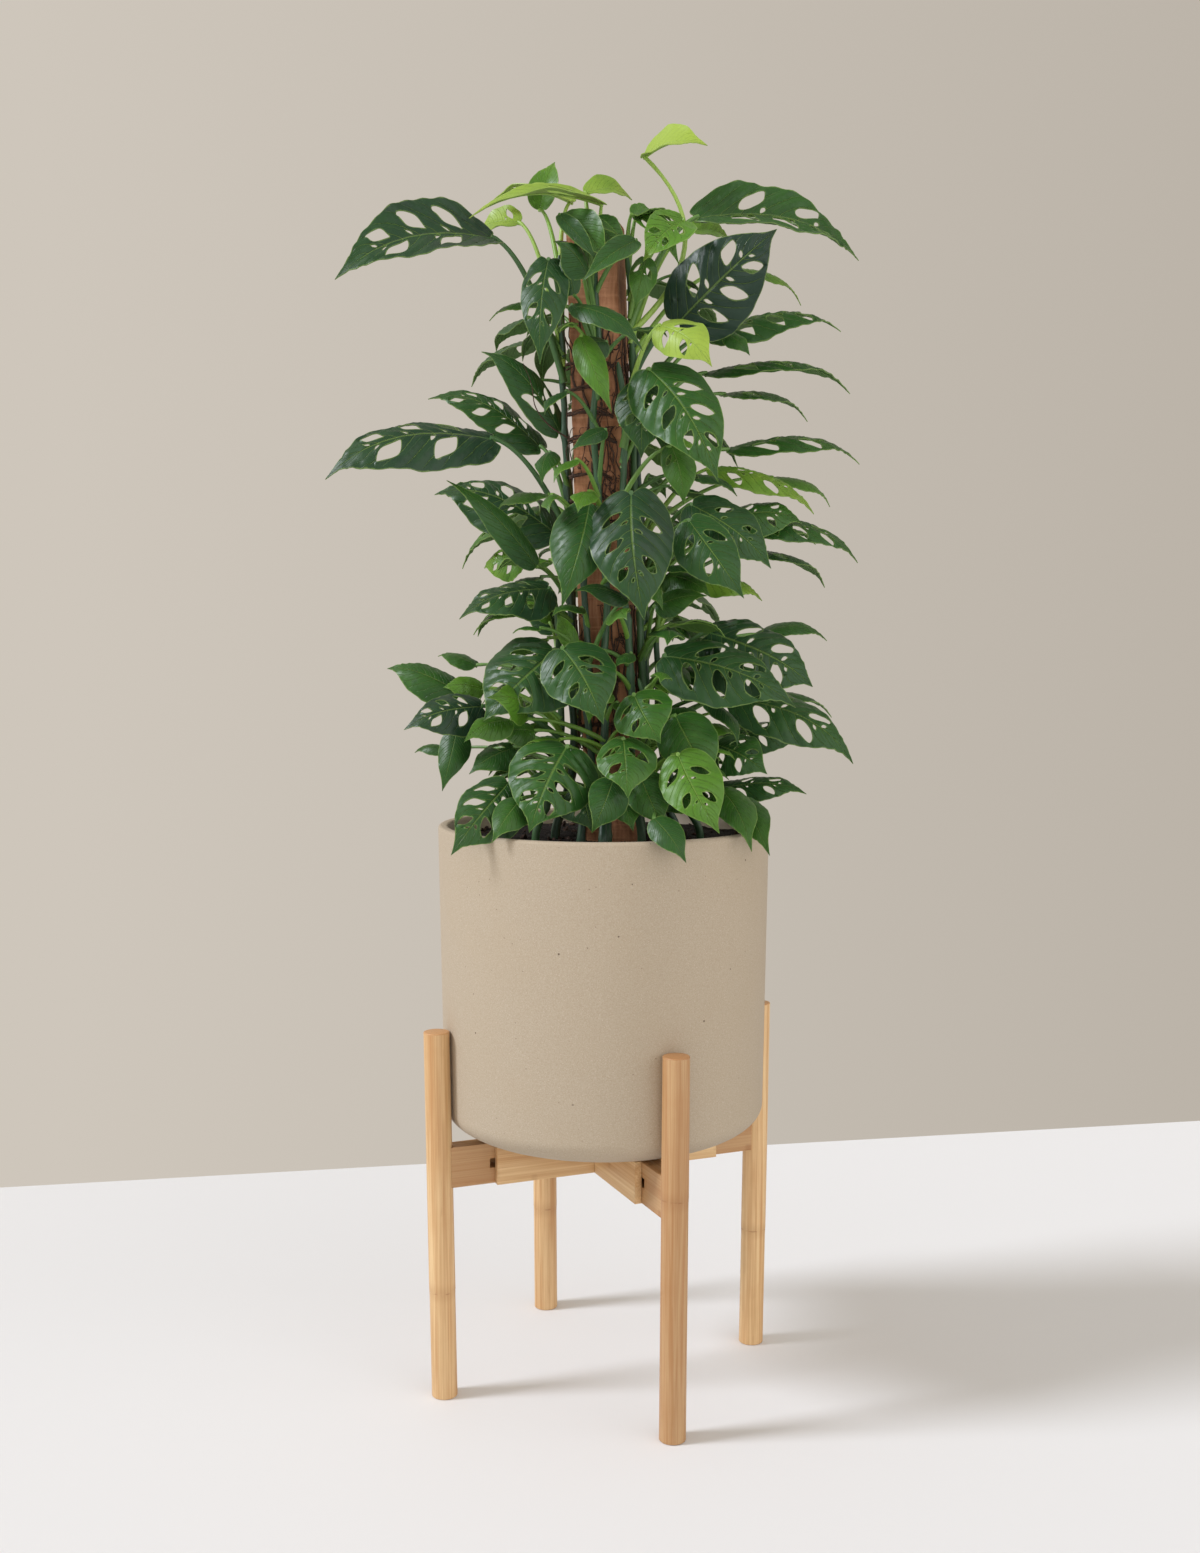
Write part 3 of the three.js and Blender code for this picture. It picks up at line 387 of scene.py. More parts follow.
def blade_finish(name, under):
    """A leaf's face: its tone comes from its age, and its veins from its own map."""
    look = bpy.context.scene.vine_plant
    finish = Finish(name)
    along, across, _ = finish.axes(finish.node("ShaderNodeUVMap", {"uv_map": "Blade"}))
    side = abs(across - 0.5) * 2
    rows = (along - (side ** VEIN_CURVE) * VEIN_SLANT) * look.veins
    vein = abs(rows.part() - 0.5).smooth(0.44, 0.49) * side.smooth(0.99, 0.7)
    half_vein = abs((rows + 0.5).part() - 0.5).smooth(0.465, 0.495) * side.smooth(0.8, 0.3)
    midrib = side.smooth(0.045, 0.01)
    blotch = finish.noise(34, 3, 0.6)
    tone = finish.attribute("tone")
    age = tone + (blotch - 0.5) * 0.24 + (along ** 2) * 0.09 - 0.03
    colour = finish.ramp(
        age, (0.1, look.shade), (0.38, look.green), (0.72, look.fresh), (0.98, look.lime)
    )
    grown = 1 - tone.smooth(0.6, 1.0) * 0.75
    pale = vein * grown * 0.24 + half_vein * grown * 0.09 + midrib * 0.34
    colour = finish.mix(pale, colour, srgb(136, 168, 78))
    patches = finish.noise(110, 3, 0.6).smooth(0.52, 0.72)
    colour = finish.mix(patches * grown * 0.24, colour, look.shade)
    if under:
        colour = finish.mix(0.45, colour, srgb(112, 146, 84))
    margin = finish.attribute("rim").smooth(0.74, 0.95) * 0.38
    colour = finish.mix(margin, colour, srgb(150, 178, 92))
    groove = (vein * -0.8 + half_vein * -0.3 - midrib) * (-1 if under else 1)
    relief = finish.bump((groove + finish.noise(620) * 0.04) * grown, 0.0012, 0.9)
    return finish.done(
        base_color=colour,
        roughness=blotch * 0.18 + (0.5 if under else 0.31),
        specular=0.25 if under else 0.34,
        normal=relief,
    )


def stem_finish():
    """Stems and stalks: green by age, with fine lengthwise fibres and a few brown marks."""
    finish = Finish("green stem")
    fibres = finish.noise((420, 420, 40))
    age = finish.attribute("tone") + (fibres - 0.5) * 0.12
    old, young = (0.1, srgb(50, 80, 60)), (1.0, srgb(172, 202, 96))
    colour = finish.ramp(age, old, (0.4, srgb(68, 108, 56)), (0.7, srgb(124, 166, 66)), young)
    scars = finish.noise(120, 3, 0.6).smooth(0.62, 0.72)
    colour = finish.mix(scars * (0.5 - age * 0.4), colour, srgb(78, 64, 42))
    return finish.done(base_color=colour, roughness=0.42, normal=finish.bump(fibres, 0.00012))


# Modelling steps


def select_only(piece):
    bpy.ops.object.select_all(action="DESELECT")
    piece.select_set(True)
    bpy.context.view_layer.objects.active = piece


def edit(piece):
    """Opens a piece in edit mode with everything selected."""
    select_only(piece)
    bpy.ops.object.mode_set(mode="EDIT")
    bpy.ops.mesh.select_all(action="SELECT")


def leave_edit():
    bpy.ops.object.mode_set(mode="OBJECT")


def primitive(add, name, **settings):
    """Adds a primitive shape by itself, names it and settles its place in its mesh."""
    bpy.ops.object.select_all(action="DESELECT")
    add(**settings)
    piece = bpy.context.active_object
    piece.name = piece.data.name = name
    bpy.ops.object.transform_apply(location=True, rotation=True, scale=True)
    return piece


def new_piece(name, data):
    """Puts an object with a mesh, a light or a camera in the scene."""
    piece = bpy.data.objects.new(name, data)
    bpy.context.scene.collection.objects.link(piece)
    return piece


def finish_with(piece, kind, **settings):
    """Adds a modifier with its settings and applies it."""
    modifier = piece.modifiers.new(kind.title(), kind)
    for name, value in settings.items():
        setattr(modifier, name, value)
    select_only(piece)
    bpy.ops.object.modifier_apply(modifier=modifier.name)


def ease(piece, width, segments, angle=0.9):
    """Rounds the edges of a piece that turn by more than an angle in radians."""
    limit = {"limit_method": "ANGLE", "angle_limit": angle}
    finish_with(piece, "BEVEL", width=width, segments=segments, **limit)


def smooth(piece, angle=40):
    select_only(piece)
    bpy.ops.object.shade_smooth_by_angle(angle=math.radians(angle))


def add_materials(piece, materials):
    for material in materials:
        piece.data.materials.append(material)


def hand_over(piece, body, slot, node, *materials):
    """Gives a piece its finishes, if any, and its body, and hides the CAD part of the node it stands
    for. Its slot is not used.
    """
    add_materials(piece, materials)
    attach(piece, body)
    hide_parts(node)


def spun(name, profile, steps):
    """A turned shape from [radius, height] pairs that start and end on the axis."""
    mesh = bpy.data.meshes.new(name)
    points = [(radius, 0, height) for radius, height in profile]
    mesh.from_pydata(points, [(i, i + 1) for i in range(len(points) - 1)], [])
    piece = new_piece(name, mesh)
    edit(piece)
    bpy.ops.mesh.spin(steps=steps, angle=2 * math.pi, center=(0, 0, 0), axis=(0, 0, 1))
    bpy.ops.mesh.select_all(action="SELECT")
    bpy.ops.mesh.remove_doubles(threshold=1e-6)
    bpy.ops.mesh.normals_make_consistent(inside=False)
    leave_edit()
    return piece


def arc(centre, across, up, start, end, steps):
    """Points of an ellipse's arc about (radius, height), between two turns in degrees."""
    points = []
    for i in range(steps + 1):
        turn = math.radians(start + (end - start) * i / steps)
        points.append((centre[0] + across * math.cos(turn), centre[1] + up * math.sin(turn)))
    return points


def tube_mesh(points, radii, sides):
    """Corners and faces of a round tube along points, closed at both ends."""
    points = np.asarray(points, float)
    ways = np.gradient(points, axis=0)
    ways /= np.linalg.norm(ways, axis=1)[:, None]
    side = np.cross(ways[0], (0.3, 0.9, 0.1))
    corners = []
    turns = np.arange(sides) * 2 * math.pi / sides
    for point, ahead, radius in zip(points, ways, radii):
        side = side - ahead * side.dot(ahead)
        side /= np.linalg.norm(side)
        up = np.cross(ahead, side)
        ring = np.outer(np.cos(turns), side) + np.outer(np.sin(turns), up)
        corners.append(point + radius * ring)
    faces = [tuple(range(sides))[::-1]]
    for i in range(len(points) - 1):
        for k in range(sides):
            a, b = i * sides + k, i * sides + (k + 1) % sides
            faces.append((a, b, b + sides, a + sides))
    faces.append(tuple(range((len(points) - 1) * sides, len(points) * sides)))
    return np.concatenate(corners), faces


# Stand

LEG_HEIGHT, LEG_EASE = 362, 1.1
BOLT_REACH, BOLT_HEIGHT, BOLT_START, BOLT_FACE = 78, 229, -12.85, 16.8
BOLT_RADIUS, BOLT_HEAD, BOLT_EASE = 3, 3.5, 0.8
LEG_RINGS = {"front": 229, "right": 122, "back": 113, "left": 106}
# How far painted shade darkens each leg, and then the arms and the beams
LEG_PAINTED_SHADES = {"front": 0.5, "right": 0.0, "back": 0.16, "left": 0.14}
ARM_PAINTED_SHADE, BEAM_PAINTED_SHADE = 0.55, 0.04
STRIP_HEIGHT, STRIP_WIDTH = 9.8, 20
# How a leg swells at places above and below its ring
RING_SWELLS = ((-4, 1.0), (-1.2, 1.012), (0, 0.995), (1.2, 1.015), (4.5, 1.0))


def side_turn(index):
    """The turn about the axis at which a side's arm points outward."""
    return FRONT_TURN + math.pi / 2 * index


def side_direction(index):
    turn = side_turn(index)
    return Vector((math.cos(turn), math.sin(turn), 0))


def build_leg(side, index):
    """A round leg with a slight swelling at its ring, which leans out from its foot."""
    look = bpy.context.scene.vine_stand
    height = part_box(f"leg_{side}")[1].z
    size = {"radius": look.leg_radius, "depth": height, "location": (0, 0, height / 2)}
    add = bpy.ops.mesh.primitive_cylinder_add
    leg = primitive(add, f"bamboo_leg_{side}", vertices=48, **size)
    for off, swell in RING_SWELLS:
        level = (LEG_RINGS[side] + off) * MM
        edit(leg)
        bpy.ops.mesh.bisect(plane_co=(0, 0, level), plane_no=(0, 0, 1))
        bpy.ops.transform.resize(value=(swell, swell, 1), center_override=(0, 0, level))
        leave_edit()
    ease(leg, LEG_EASE * MM, 3, 1.2)
    outward = side_direction(index)
    lean = Matrix.Identity(4)
    for axis in (0, 1):
        lean[axis][2] = outward[axis] * look.leg_lean / height
        lean[axis][3] = outward[axis] * look.foot_circle
    leg.data.transform(lean)
    smooth(leg)
    # Each leg gets its own share of painted shade
    material = bamboo_pole_finish(f"bamboo pole {side}", LEG_RINGS[side], LEG_PAINTED_SHADES[side])
    hand_over(leg, f"side_{side}", "bamboo", f"leg_{side}", material)


def build_board(node, name, body, turn):
    """A board with its CAD form, its edges eased and its own run of fibres."""
    board = new_piece(name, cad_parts[node].data.copy())
    board.data.materials.clear()
    edit(board)
    bpy.ops.mesh.remove_doubles(threshold=1e-6)
    bpy.ops.mesh.dissolve_limited(angle_limit=math.radians(1))
    leave_edit()
    ease(board, bpy.context.scene.vine_stand.edge_ease, 2)
    smooth(board, 35)
    # Painted shade: the arms get a much larger share than the beams
    painted_shade = ARM_PAINTED_SHADE if node.startswith("arm") else BEAM_PAINTED_SHADE
    hand_over(board, body, "bamboo", node, bamboo_board_finish(f"bamboo {name}", turn, painted_shade))


def build_bolt(side, index, material):
    """A round-headed bolt about an arm, its head on the side away from the viewer."""
    shank = (BOLT_FACE - BOLT_START) * MM
    middle = (0, 0, BOLT_START * MM + shank / 2)
    size = {"radius": BOLT_RADIUS * MM, "depth": shank, "location": middle}
    add = bpy.ops.mesh.primitive_cylinder_add
    bolt = primitive(add, f"clamp_bolt_{side}", vertices=24, **size)
    edit(bolt)
    bpy.ops.mesh.select_mode(type="FACE")
    bpy.ops.mesh.select_all(action="DESELECT")
    leave_edit()
    top = max(bolt.data.polygons, key=lambda face: face.center.z)
    top.select = True
    bpy.ops.object.mode_set(mode="EDIT")
    bpy.ops.mesh.extrude_region_move()
    bpy.ops.transform.resize(value=(2, 2, 1), center_override=(0, 0, BOLT_FACE * MM))
    bpy.ops.mesh.extrude_region_move(TRANSFORM_OT_translate={"value": (0, 0, BOLT_HEAD * MM)})
    leave_edit()
    ease(bolt, BOLT_EASE * MM, 3)
    smooth(bolt)
    across = Vector((0, 0, 1)).rotation_difference(side_direction(1 + index % 2))
    place = side_direction(index) * BOLT_REACH * MM + Vector((0, 0, BOLT_HEIGHT * MM))
    bolt.data.transform(Matrix.Translation(place) @ across.to_matrix().to_4x4())
    hand_over(bolt, "root", "steel", f"bolt_{side}", material)


# Pot and its filling

LIP_ROUNDING, CORNER_SHRINK = 3, 6
INSIDE_RADIUS, INSIDE_LEVEL = 153.5, 300
SOIL_RINGS, SOIL_STEPS = 46, 150
SOIL_SHOULDER, SOIL_FOOT, SOIL_FOOT_SHARE = 6, 40, 0.66
CHIPS = 420
# Bumps of the soil's top: about how many to a metre, a shift, and a height in millimetres
CRUMBS = ((28, 0.7, 2.6), (140, 3.1, 1.8), (420, 5.3, 0.9))


def build_pot():
    """A pot turned from one profile: up its outside, over its lip and down its inside."""
    look = bpy.context.scene.vine_pot
    low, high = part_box("pot")
    lip = LIP_ROUNDING * MM
    lip_up = high.z - lip
    inner = look.body_radius - look.wall
    corner = look.body_radius - look.corner_across
    inner_floor = low.z + look.floor
    inner_up = look.corner_up - CORNER_SHRINK * MM
    profile = [(0, low.z)]
    centre = (corner, low.z + look.corner_up)
    profile += arc(centre, look.corner_across, look.corner_up, -90, 0, 14)
    profile += arc((high.x - lip, lip_up), lip, lip, 0, 90, 4)
    profile += arc((high.x - look.wall + lip, lip_up), lip, lip, 90, 180, 4)
    profile += arc((corner, inner_floor + inner_up), inner - corner, inner_up, 0, -90, 6)
    profile += [(0, inner_floor)]
    pot = spun("clay_pot", profile, 144)
    smooth(pot, 50)
    hand_over(pot, "root", "clay", "pot", clay_finish())


def crumb_height(x, y):
    """How far the soil's top stands above or below its level at a place, in metres."""
    bumps = (rise * noise.noise(Vector((x * k, y * k, shift))) for k, shift, rise in CRUMBS)
    return sum(bumps) * MM


def build_soil():
    """Soil that fills the pot, with a crumbly top and bark chips on it."""
    low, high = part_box("soil")
    edge = high.x
    side = [
        (0, low.z),
        (edge * SOIL_FOOT_SHARE, low.z),
        (edge, low.z + SOIL_FOOT * MM),
        (edge, high.z - SOIL_SHOULDER * MM),
    ]
    rings = [(edge * i / SOIL_RINGS, high.z) for i in range(SOIL_RINGS, -1, -1)]
    soil = spun("potting_soil", side + rings, SOIL_STEPS)
    for vertex in soil.data.vertices:
        spot = vertex.co
        if spot.z > high.z - 1 * MM:
            spot.z += crumb_height(spot.x, spot.y) - 1.5 * MM
    smooth(soil, 60)
    hand_over(soil, "root", "soil", "soil", soil_finish())
    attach(build_chips(high.z, edge), "root")


def build_chips(level, edge):
    """Chips of bark and small lumps that lie half in the soil's top."""
    draw = number_stream(2621)
    add = bpy.ops.mesh.primitive_ico_sphere_add
    chips = primitive(add, "bark_chips", subdivisions=1, radius=1)
    lump = chips.data
    corners = np.array([vertex.co for vertex in lump.vertices])
    faces = np.array([face.vertices for face in lump.polygons])
    places, walls = [], []
    for i in range(CHIPS):
        away = (edge - 6 * MM) * math.sqrt(draw())
        turn = 2 * math.pi * draw()
        size = (1.2 + 3.6 * draw() ** 3) * MM
        shape = corners * (size * (0.8 + 1.1 * draw()), size * (0.5 + 0.5 * draw()), size * 0.45)
        spin = Quaternion((draw() - 0.5, draw() - 0.5, 2 * draw() - 1), 3 * draw()).to_matrix()
        x, y = away * math.cos(turn), away * math.sin(turn)
        spot = np.array((x, y, level + crumb_height(x, y) - 1.2 * MM))
        places.append(shape @ np.array(spin) + spot)
        walls.append(faces + len(corners) * i)
    chips.data = bpy.data.meshes.new("bark_chips")
    chips.data.from_pydata(np.concatenate(places).tolist(), [], np.concatenate(walls).tolist())
    bpy.data.meshes.remove(lump)
    chips.data.materials.append(bark_finish())
    return chips


# Post

POST_HALF, POST_TURN = 25, math.radians(-12)
POST_TOP, POST_EASE, POST_GRAIN = 1137, 1.6, 2.6
# The post's centre (x, y) at the soil's top and at its own top
POST_LOW, POST_HIGH = np.array((11.0, 4.0)), np.array((-8.0, 4.0))
SOIL_TOP = 542


def post_centre(height):
    """The post's centre at a height, or at an array of heights."""
    share = (np.asarray(height, float) - SOIL_TOP) / (POST_TOP - SOIL_TOP)
    return POST_LOW + (POST_HIGH - POST_LOW) * share[..., None]


def post_reach(direction):
    """How far the post's side is from its centre in a direction."""
    turn = direction - POST_TURN
    return POST_HALF / max(abs(math.cos(turn)), abs(math.sin(turn)))


def post_place(x, y, height):
    """A place beside the post in its own turned frame, x to its right and y to its back."""
    centre = post_centre(height)
    c, s = math.cos(POST_TURN), math.sin(POST_TURN)
    return np.array((centre[0] + c * x - s * y, centre[1] + s * x + c * y, height))


def build_post():
    """A square post with worn sides, saw marks and chipped corners, turned and leaning."""
    low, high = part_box("post")
    size = (2 * POST_HALF * MM, 2 * POST_HALF * MM, high.z - low.z)
    middle = (0, 0, (low.z + high.z) / 2)
    add = bpy.ops.mesh.primitive_cube_add
    post = primitive(add, "timber_post", size=1, scale=size, location=middle)
    finish_with(post, "BEVEL", width=POST_EASE * MM, segments=2)
    post.data.remesh_voxel_size = POST_GRAIN * MM
    select_only(post)
    bpy.ops.object.voxel_remesh()
    spin = Quaternion((0, 0, 1), POST_TURN)
    for vertex in post.data.vertices:
        x, y, z = vertex.co
        worn = noise.noise(Vector((x * 40, y * 40, z * 11))) * 0.7
        sawn = noise.noise(Vector((x * 20, y * 20, z * 300 + x * 60))) * 0.35
        corner = max(0.0, min(abs(x), abs(y)) / (POST_HALF * MM) - 0.8) * 5
        chip = max(0.0, noise.noise(Vector((x * 9 + 4, y * 9, z * 26)))) * corner * 3.2
        outward = Vector((x, y, 0)).normalized()
        moved = vertex.co + outward * (worn + sawn - chip - 0.7) * MM
        moved.rotate(spin)
        centre = post_centre(z / MM) * MM
        vertex.co = (moved.x + centre[0], moved.y + centre[1], z)
    smooth(post, 50)
    hand_over(post, "root", "timber", "post", timber_finish())


# Growing plan of the vines. Each leaf has its height on the stem, then its blade's base and
# tip as seen (right, height, depth), the blade's width, how far it faces the viewer in degrees
# from straight up, its holes, its tone from old (0) to young (1), and for a long bent stalk
# the seen place that it bows towards

EYE = np.array((-3.5, -1650.0, 737.0))
PLANTING_DEPTH = 24
STEM_RADIUS = 4.3
STALK_RADIUS = 1.7
ROOT_RADIUS = 1.3
STEM_CLEARANCE, OUTER_STEM_CLEARANCE = 4.2, 17
BLADE_CLEARANCE, STALK_CLEARANCE = 11, 7
POT_RIM, POT_RIM_RADIUS, POT_WALL = 556, 163, 10
SETTLE_ROUNDS, SETTLE_STEP = 30, 4
BLADE_ARCH, BLADE_FOLD, BLADE_WAVE = 0.42, 0.13, 0.022
RAISED_FOLD, RAISED_ABOVE = -0.14, 1110
SMALL_LEAVES, SMALL_LEAF_TRIES, SMALL_LEAF_LOW, SMALL_LEAF_CLEARANCE = 8, 130, 572, 6.5
VEIN_SLANT, VEIN_CURVE = 0.27, 1.25
STALK_LIFT, STALK_RISE = 0.3, 0.1

VINES = [
    ("vine_left_tall", 192, 60, 1105, [
        [985, -108, 1124, -20, -260, 1088, -70, 85, 45, 5, 0.18],
        [1060, -20, 1160, 15, -108, 1159, 45, 42, 24, 2, 0.95],
        [1080, -62, 1150, 50, -47, 1196, 70, 30, 60, 0, 0.7],
        [1035, -50, 1103, -60, -60, 1003, -85, 44, 75, 2, 0.25],
        [1000, -82, 1138, 35, -120, 1130, 65, 38, 45, 1, 0.92],
    ]),
    ("vine_post_top", 263, 58, 1120, [
        [1075, -5, 1149, -32, -130, 1145, -60, 40, 24, 2, 0.9],
        [1010, -35, 1143, -45, 5, 1095, -75, 30, 55, 0, 0.45],
        [1060, -16, 1140, -35, 24, 1110, -58, 34, 60, 0, 0.42],
        [1045, -18, 1088, -60, -46, 1120, -78, 28, 60, 0, 0.35],
        [1000, -33, 1062, -70, 38, 1018, -95, 30, 45, 0, 0.3],
        [985, -22, 1030, -70, 8, 958, -95, 28, 65, 0, 0.62],
        [1095, -18, 1161, 5, 28, 1160, 20, 30, 35, 0, 0.85],
    ]),
    ("vine_right_tall", -30, 60, 1105, [
        [1030, 38, 1200, 0, 99, 1212, -30, 48, 40, 0, 1.0, [125, 1120]],
        [1035, 92, 1143, -10, 248, 1106, 40, 82, 40, 5, 0.36],
        [985, 72, 1043, -30, 167, 1132, -55, 82, 88, 5, 0.05],
        [1090, 20, 1143, -15, 66, 1140, -5, 34, 30, 0, 0.5],
        [1060, 78, 1140, -45, 38, 1102, -70, 44, 65, 2, 0.72],
        [1020, 85, 1130, 30, 122, 1122, 45, 38, 42, 0, 0.8],
        [1005, 130, 1094, 45, 192, 1061, 80, 32, 22, 0, 0.76],
    ]),
    ("vine_right_upper", -3, 62, 1045, [
        [960, 105, 1032, 20, 230, 1038, 45, 60, 28, 4, 0.34],
        [950, 118, 1034, -12, 142, 1012, -22, 20, 50, 0, 0.4],
        [930, 100, 995, 40, 240, 979, 80, 50, 18, 3, 0.34],
        [920, 118, 975, 60, 199, 951, 105, 38, 16, 2, 0.4],
        [860, 122, 922, 30, 250, 911, 60, 50, 20, 2, 0.4],
    ]),
    ("vine_front_right", -64, 58, 1000, [
        [940, 55, 1040, -75, 105, 1002, -110, 46, 70, 1, 0.95],
        [920, 45, 997, -70, 112, 892, -115, 76, 75, 4, 0.38],
        [905, 42, 990, -38, 38, 915, -50, 58, 75, 2, 0.3],
        [845, 26, 880, -85, 40, 757, -125, 80, 88, 5, 0.2],
        [900, 60, 965, -20, 58, 915, -30, 32, 70, 0, 0.4],
        [870, 66, 925, -48, 78, 868, -58, 32, 70, 1, 0.5],
    ]),
    ("vine_right_mid", 25, 60, 905, [
        [830, 105, 902, 15, 205, 858, 0, 50, 30, 2, 0.78],
        [820, 98, 850, -30, 110, 872, -36, 24, 60, 0, 0.5],
        [840, 165, 895, 60, 222, 868, 90, 26, 22, 0, 0.6],
        [800, 122, 858, -20, 196, 856, -12, 48, 48, 2, 0.4],
        [790, 135, 850, 5, 250, 815, 15, 46, 28, 3, 0.36],
        [780, 138, 846, 40, 208, 832, 60, 36, 25, 0, 0.5],
        [760, 152, 823, 60, 218, 790, 90, 32, 24, 1, 0.32],
        [800, 85, 862, -40, 162, 808, -62, 64, 55, 2, 0.26],
        [785, 88, 850, -72, 138, 778, -100, 55, 75, 1, 0.3],
    ]),
    ("vine_front", 236, 58, 870, [
        [830, -13, 870, -75, -41, 770, -112, 57, 82, 0, 0.33],
        [690, -42, 728, -85, 0, 655, -118, 70, 65, 1, 0.3],
    ]),
    ("vine_left_mid", 164, 60, 905, [
        [845, -62, 925, 35, -170, 973, 60, 55, 34, 4, 0.3],
        [855, -40, 940, 0, -118, 1017, 30, 36, 50, 2, 0.3],
        [830, -110, 933, -30, -272, 897, -75, 75, 37, 5, 0.16],
        [800, -48, 842, 15, -165, 881, 45, 72, 45, 3, 0.22],
        [760, -65, 808, -35, -152, 893, -55, 30, 60, 0, 0.35],
        [765, -78, 816, 60, -118, 808, 85, 45, 50, 2, 0.75],
    ]),
    ("vine_left_low", 196, 80, 748, [
        [735, -50, 790, -15, -142, 760, -45, 70, 38, 4, 0.22],
        [710, -45, 745, 45, -85, 782, 65, 28, 40, 0, 0.3],
        [680, -45, 730, -50, -118, 660, -92, 92, 65, 5, 0.27],
        [690, -125, 712, 25, -163, 718, 45, 24, 30, 0, 0.4],
        [660, -140, 690, 25, -213, 714, 50, 40, 45, 0, 0.4],
        [655, -118, 690, -5, -158, 691, -10, 26, 55, 0, 0.7],
        [640, -120, 672, -28, -197, 650, -55, 52, 58, 3, 0.15],
        [645, -72, 668, -80, -112, 678, -98, 36, 70, 1, 0.66],
    ]),
    ("vine_front_low", 262, 84, 690, [
        [600, -150, 630, 35, -187, 627, 50, 16, 35, 0, 0.4],
        [610, -145, 650, -5, -160, 588, -22, 32, 62, 0, 0.34],
        [600, -88, 632, -30, -133, 606, -58, 38, 50, 1, 0.35],
        [625, -68, 648, -45, -108, 644, -55, 30, 50, 0, 0.5],
        [640, -92, 662, -62, -138, 638, -90, 28, 45, 0, 0.55],
        [600, -35, 628, -88, -75, 541, -130, 85, 78, 4, 0.36],
        [590, -92, 598, -90, -150, 525, -145, 62, 60, 3, 0.3],
        [585, -82, 580, -112, -110, 538, -140, 34, 70, 0, 0.4],
        [625, 22, 640, -105, 25, 580, -135, 56, 80, 1, 0.45],
        [595, -18, 592, -95, -10, 546, -118, 45, 65, 1, 0.26],
        [600, 8, 602, -122, -12, 538, -142, 38, 80, 0, 0.36],
    ]),
    ("vine_right_low", 2, 84, 752, [
        [740, 92, 800, 25, 156, 777, 20, 42, 38, 0, 0.8],
        [735, 60, 800, -20, 105, 780, -45, 40, 55, 0, 0.45],
        [690, 105, 745, -20, 207, 693, -40, 88, 50, 5, 0.22],
        [670, 60, 722, -55, 190, 673, -82, 75, 50, 3, 0.26],
        [670, 82, 702, 20, 182, 710, 40, 48, 40, 1, 0.36],
        [680, 150, 742, 70, 220, 738, 100, 24, 25, 0, 0.4],
        [640, 128, 684, 0, 248, 617, -15, 62, 42, 2, 0.3],
        [650, 148, 682, 50, 226, 663, 80, 32, 28, 1, 0.35],
    ]),
    ("vine_right_foot", -58, 84, 700, [
        [640, 30, 682, -95, 56, 634, -122, 58, 78, 1, 0.42],
        [625, 72, 660, -85, 108, 598, -120, 58, 72, 0, 0.4],
        [600, 70, 622, -108, 113, 543, -148, 58, 80, 2, 0.66],
        [610, 118, 640, 35, 198, 638, 55, 48, 40, 4, 0.3],
        [605, 112, 635, -30, 162, 606, -58, 52, 60, 2, 0.35],
        [590, 118, 592, 0, 201, 587, -12, 42, 38, 2, 0.3],
        [590, 36, 602, -100, 58, 553, -130, 42, 75, 0, 0.4],
        [570, 52, 562, -130, 82, 516, -172, 30, 60, 0, 0.34],
        [580, 112, 592, -70, 138, 530, -118, 40, 60, 0, 0.45],
        [575, 122, 575, -35, 146, 522, -92, 36, 60, 0, 0.4],
        [585, 60, 590, -80, 108, 562, -98, 36, 50, 0, 0.4],
        [590, 15, 590, -92, 28, 546, -118, 34, 75, 0, 0.4],
    ]),
]
# Small crumpled leaves before the post and between the large ones, in rows as above without
# the height on the stem, which is FILLING_DROP below the blade's base
FILLING_DROP = 60
FILLING_LEAVES = {
    "vine_post_top": [
        [-43, 1145, -62, -4, 1099, -78, 17, 60, 0, 0.3],
        [32, 1121, -60, -21, 1082, -88, 26, 70, 0, 0.36],
        [-22, 1109, -52, -48, 1120, -64, 15, 50, 0, 0.24],
        [-29, 1069, -66, -42, 1109, -58, 20, 60, 0, 0.3],
        [3, 1025, -56, -29, 1014, -72, 28, 60, 0, 0.28],
        [-19, 1137, -54, 16, 1125, -66, 15, 55, 0, 0.42],
        [2, 941, -60, -32, 921, -76, 18, 62, 0, 0.3],
    ],
    "vine_right_tall": [
        [32, 1145, -15, 73, 1099, -34, 24, 60, 2, 0.58],
        [41, 1104, -38, 30, 1056, -48, 26, 70, 2, 0.5],
    ],
    "vine_front": [
        [24, 776, -62, -28, 786, -78, 22, 40, 0, 0.3],
        [-28, 729, -40, -46, 763, -28, 18, 50, 0, 0.66],
    ],
    "vine_right_mid": [[50, 770, -52, 101, 781, -66, 34, 60, 0, 0.4]],
    "vine_left_low": [[-53, 754, 28, -83, 778, 46, 15, 45, 0, 0.74]],
}
OUTER_VINES = ("vine_left_low", "vine_front_low", "vine_right_low", "vine_right_foot")

# Vines on the post's back carry leaves by rule: turn, foot, top, seed, first and last height
BACK_VINES = [
    ("vine_back_left", 115, 60, 1070, 4127, 600, 1040),
    ("vine_back_right", 62, 60, 1070, 9311, 620, 1050),
]
BACK_LEAVES = 7

# Rules for leaves that aren't listed: the least and the spread of their length, of their stalk,
# of its lift and of the tip's drop in blade lengths; how far a blade may turn off its stalk in
# radians, how much of its length lies level, and how far it faces outward
BACK_RULE = SimpleNamespace(
    length=(80, 28), stalk=(40, 22), lift=(28, 22), drop=(0.25, 0.35),
    veer=0, reach=0.9, facing=0.5,
)
SMALL_RULE = SimpleNamespace(
    length=(32, 42), stalk=(18, 40), lift=(8, 30), drop=(0.1, 0.6),
    veer=1.4, reach=0.85, facing=0.6,
)

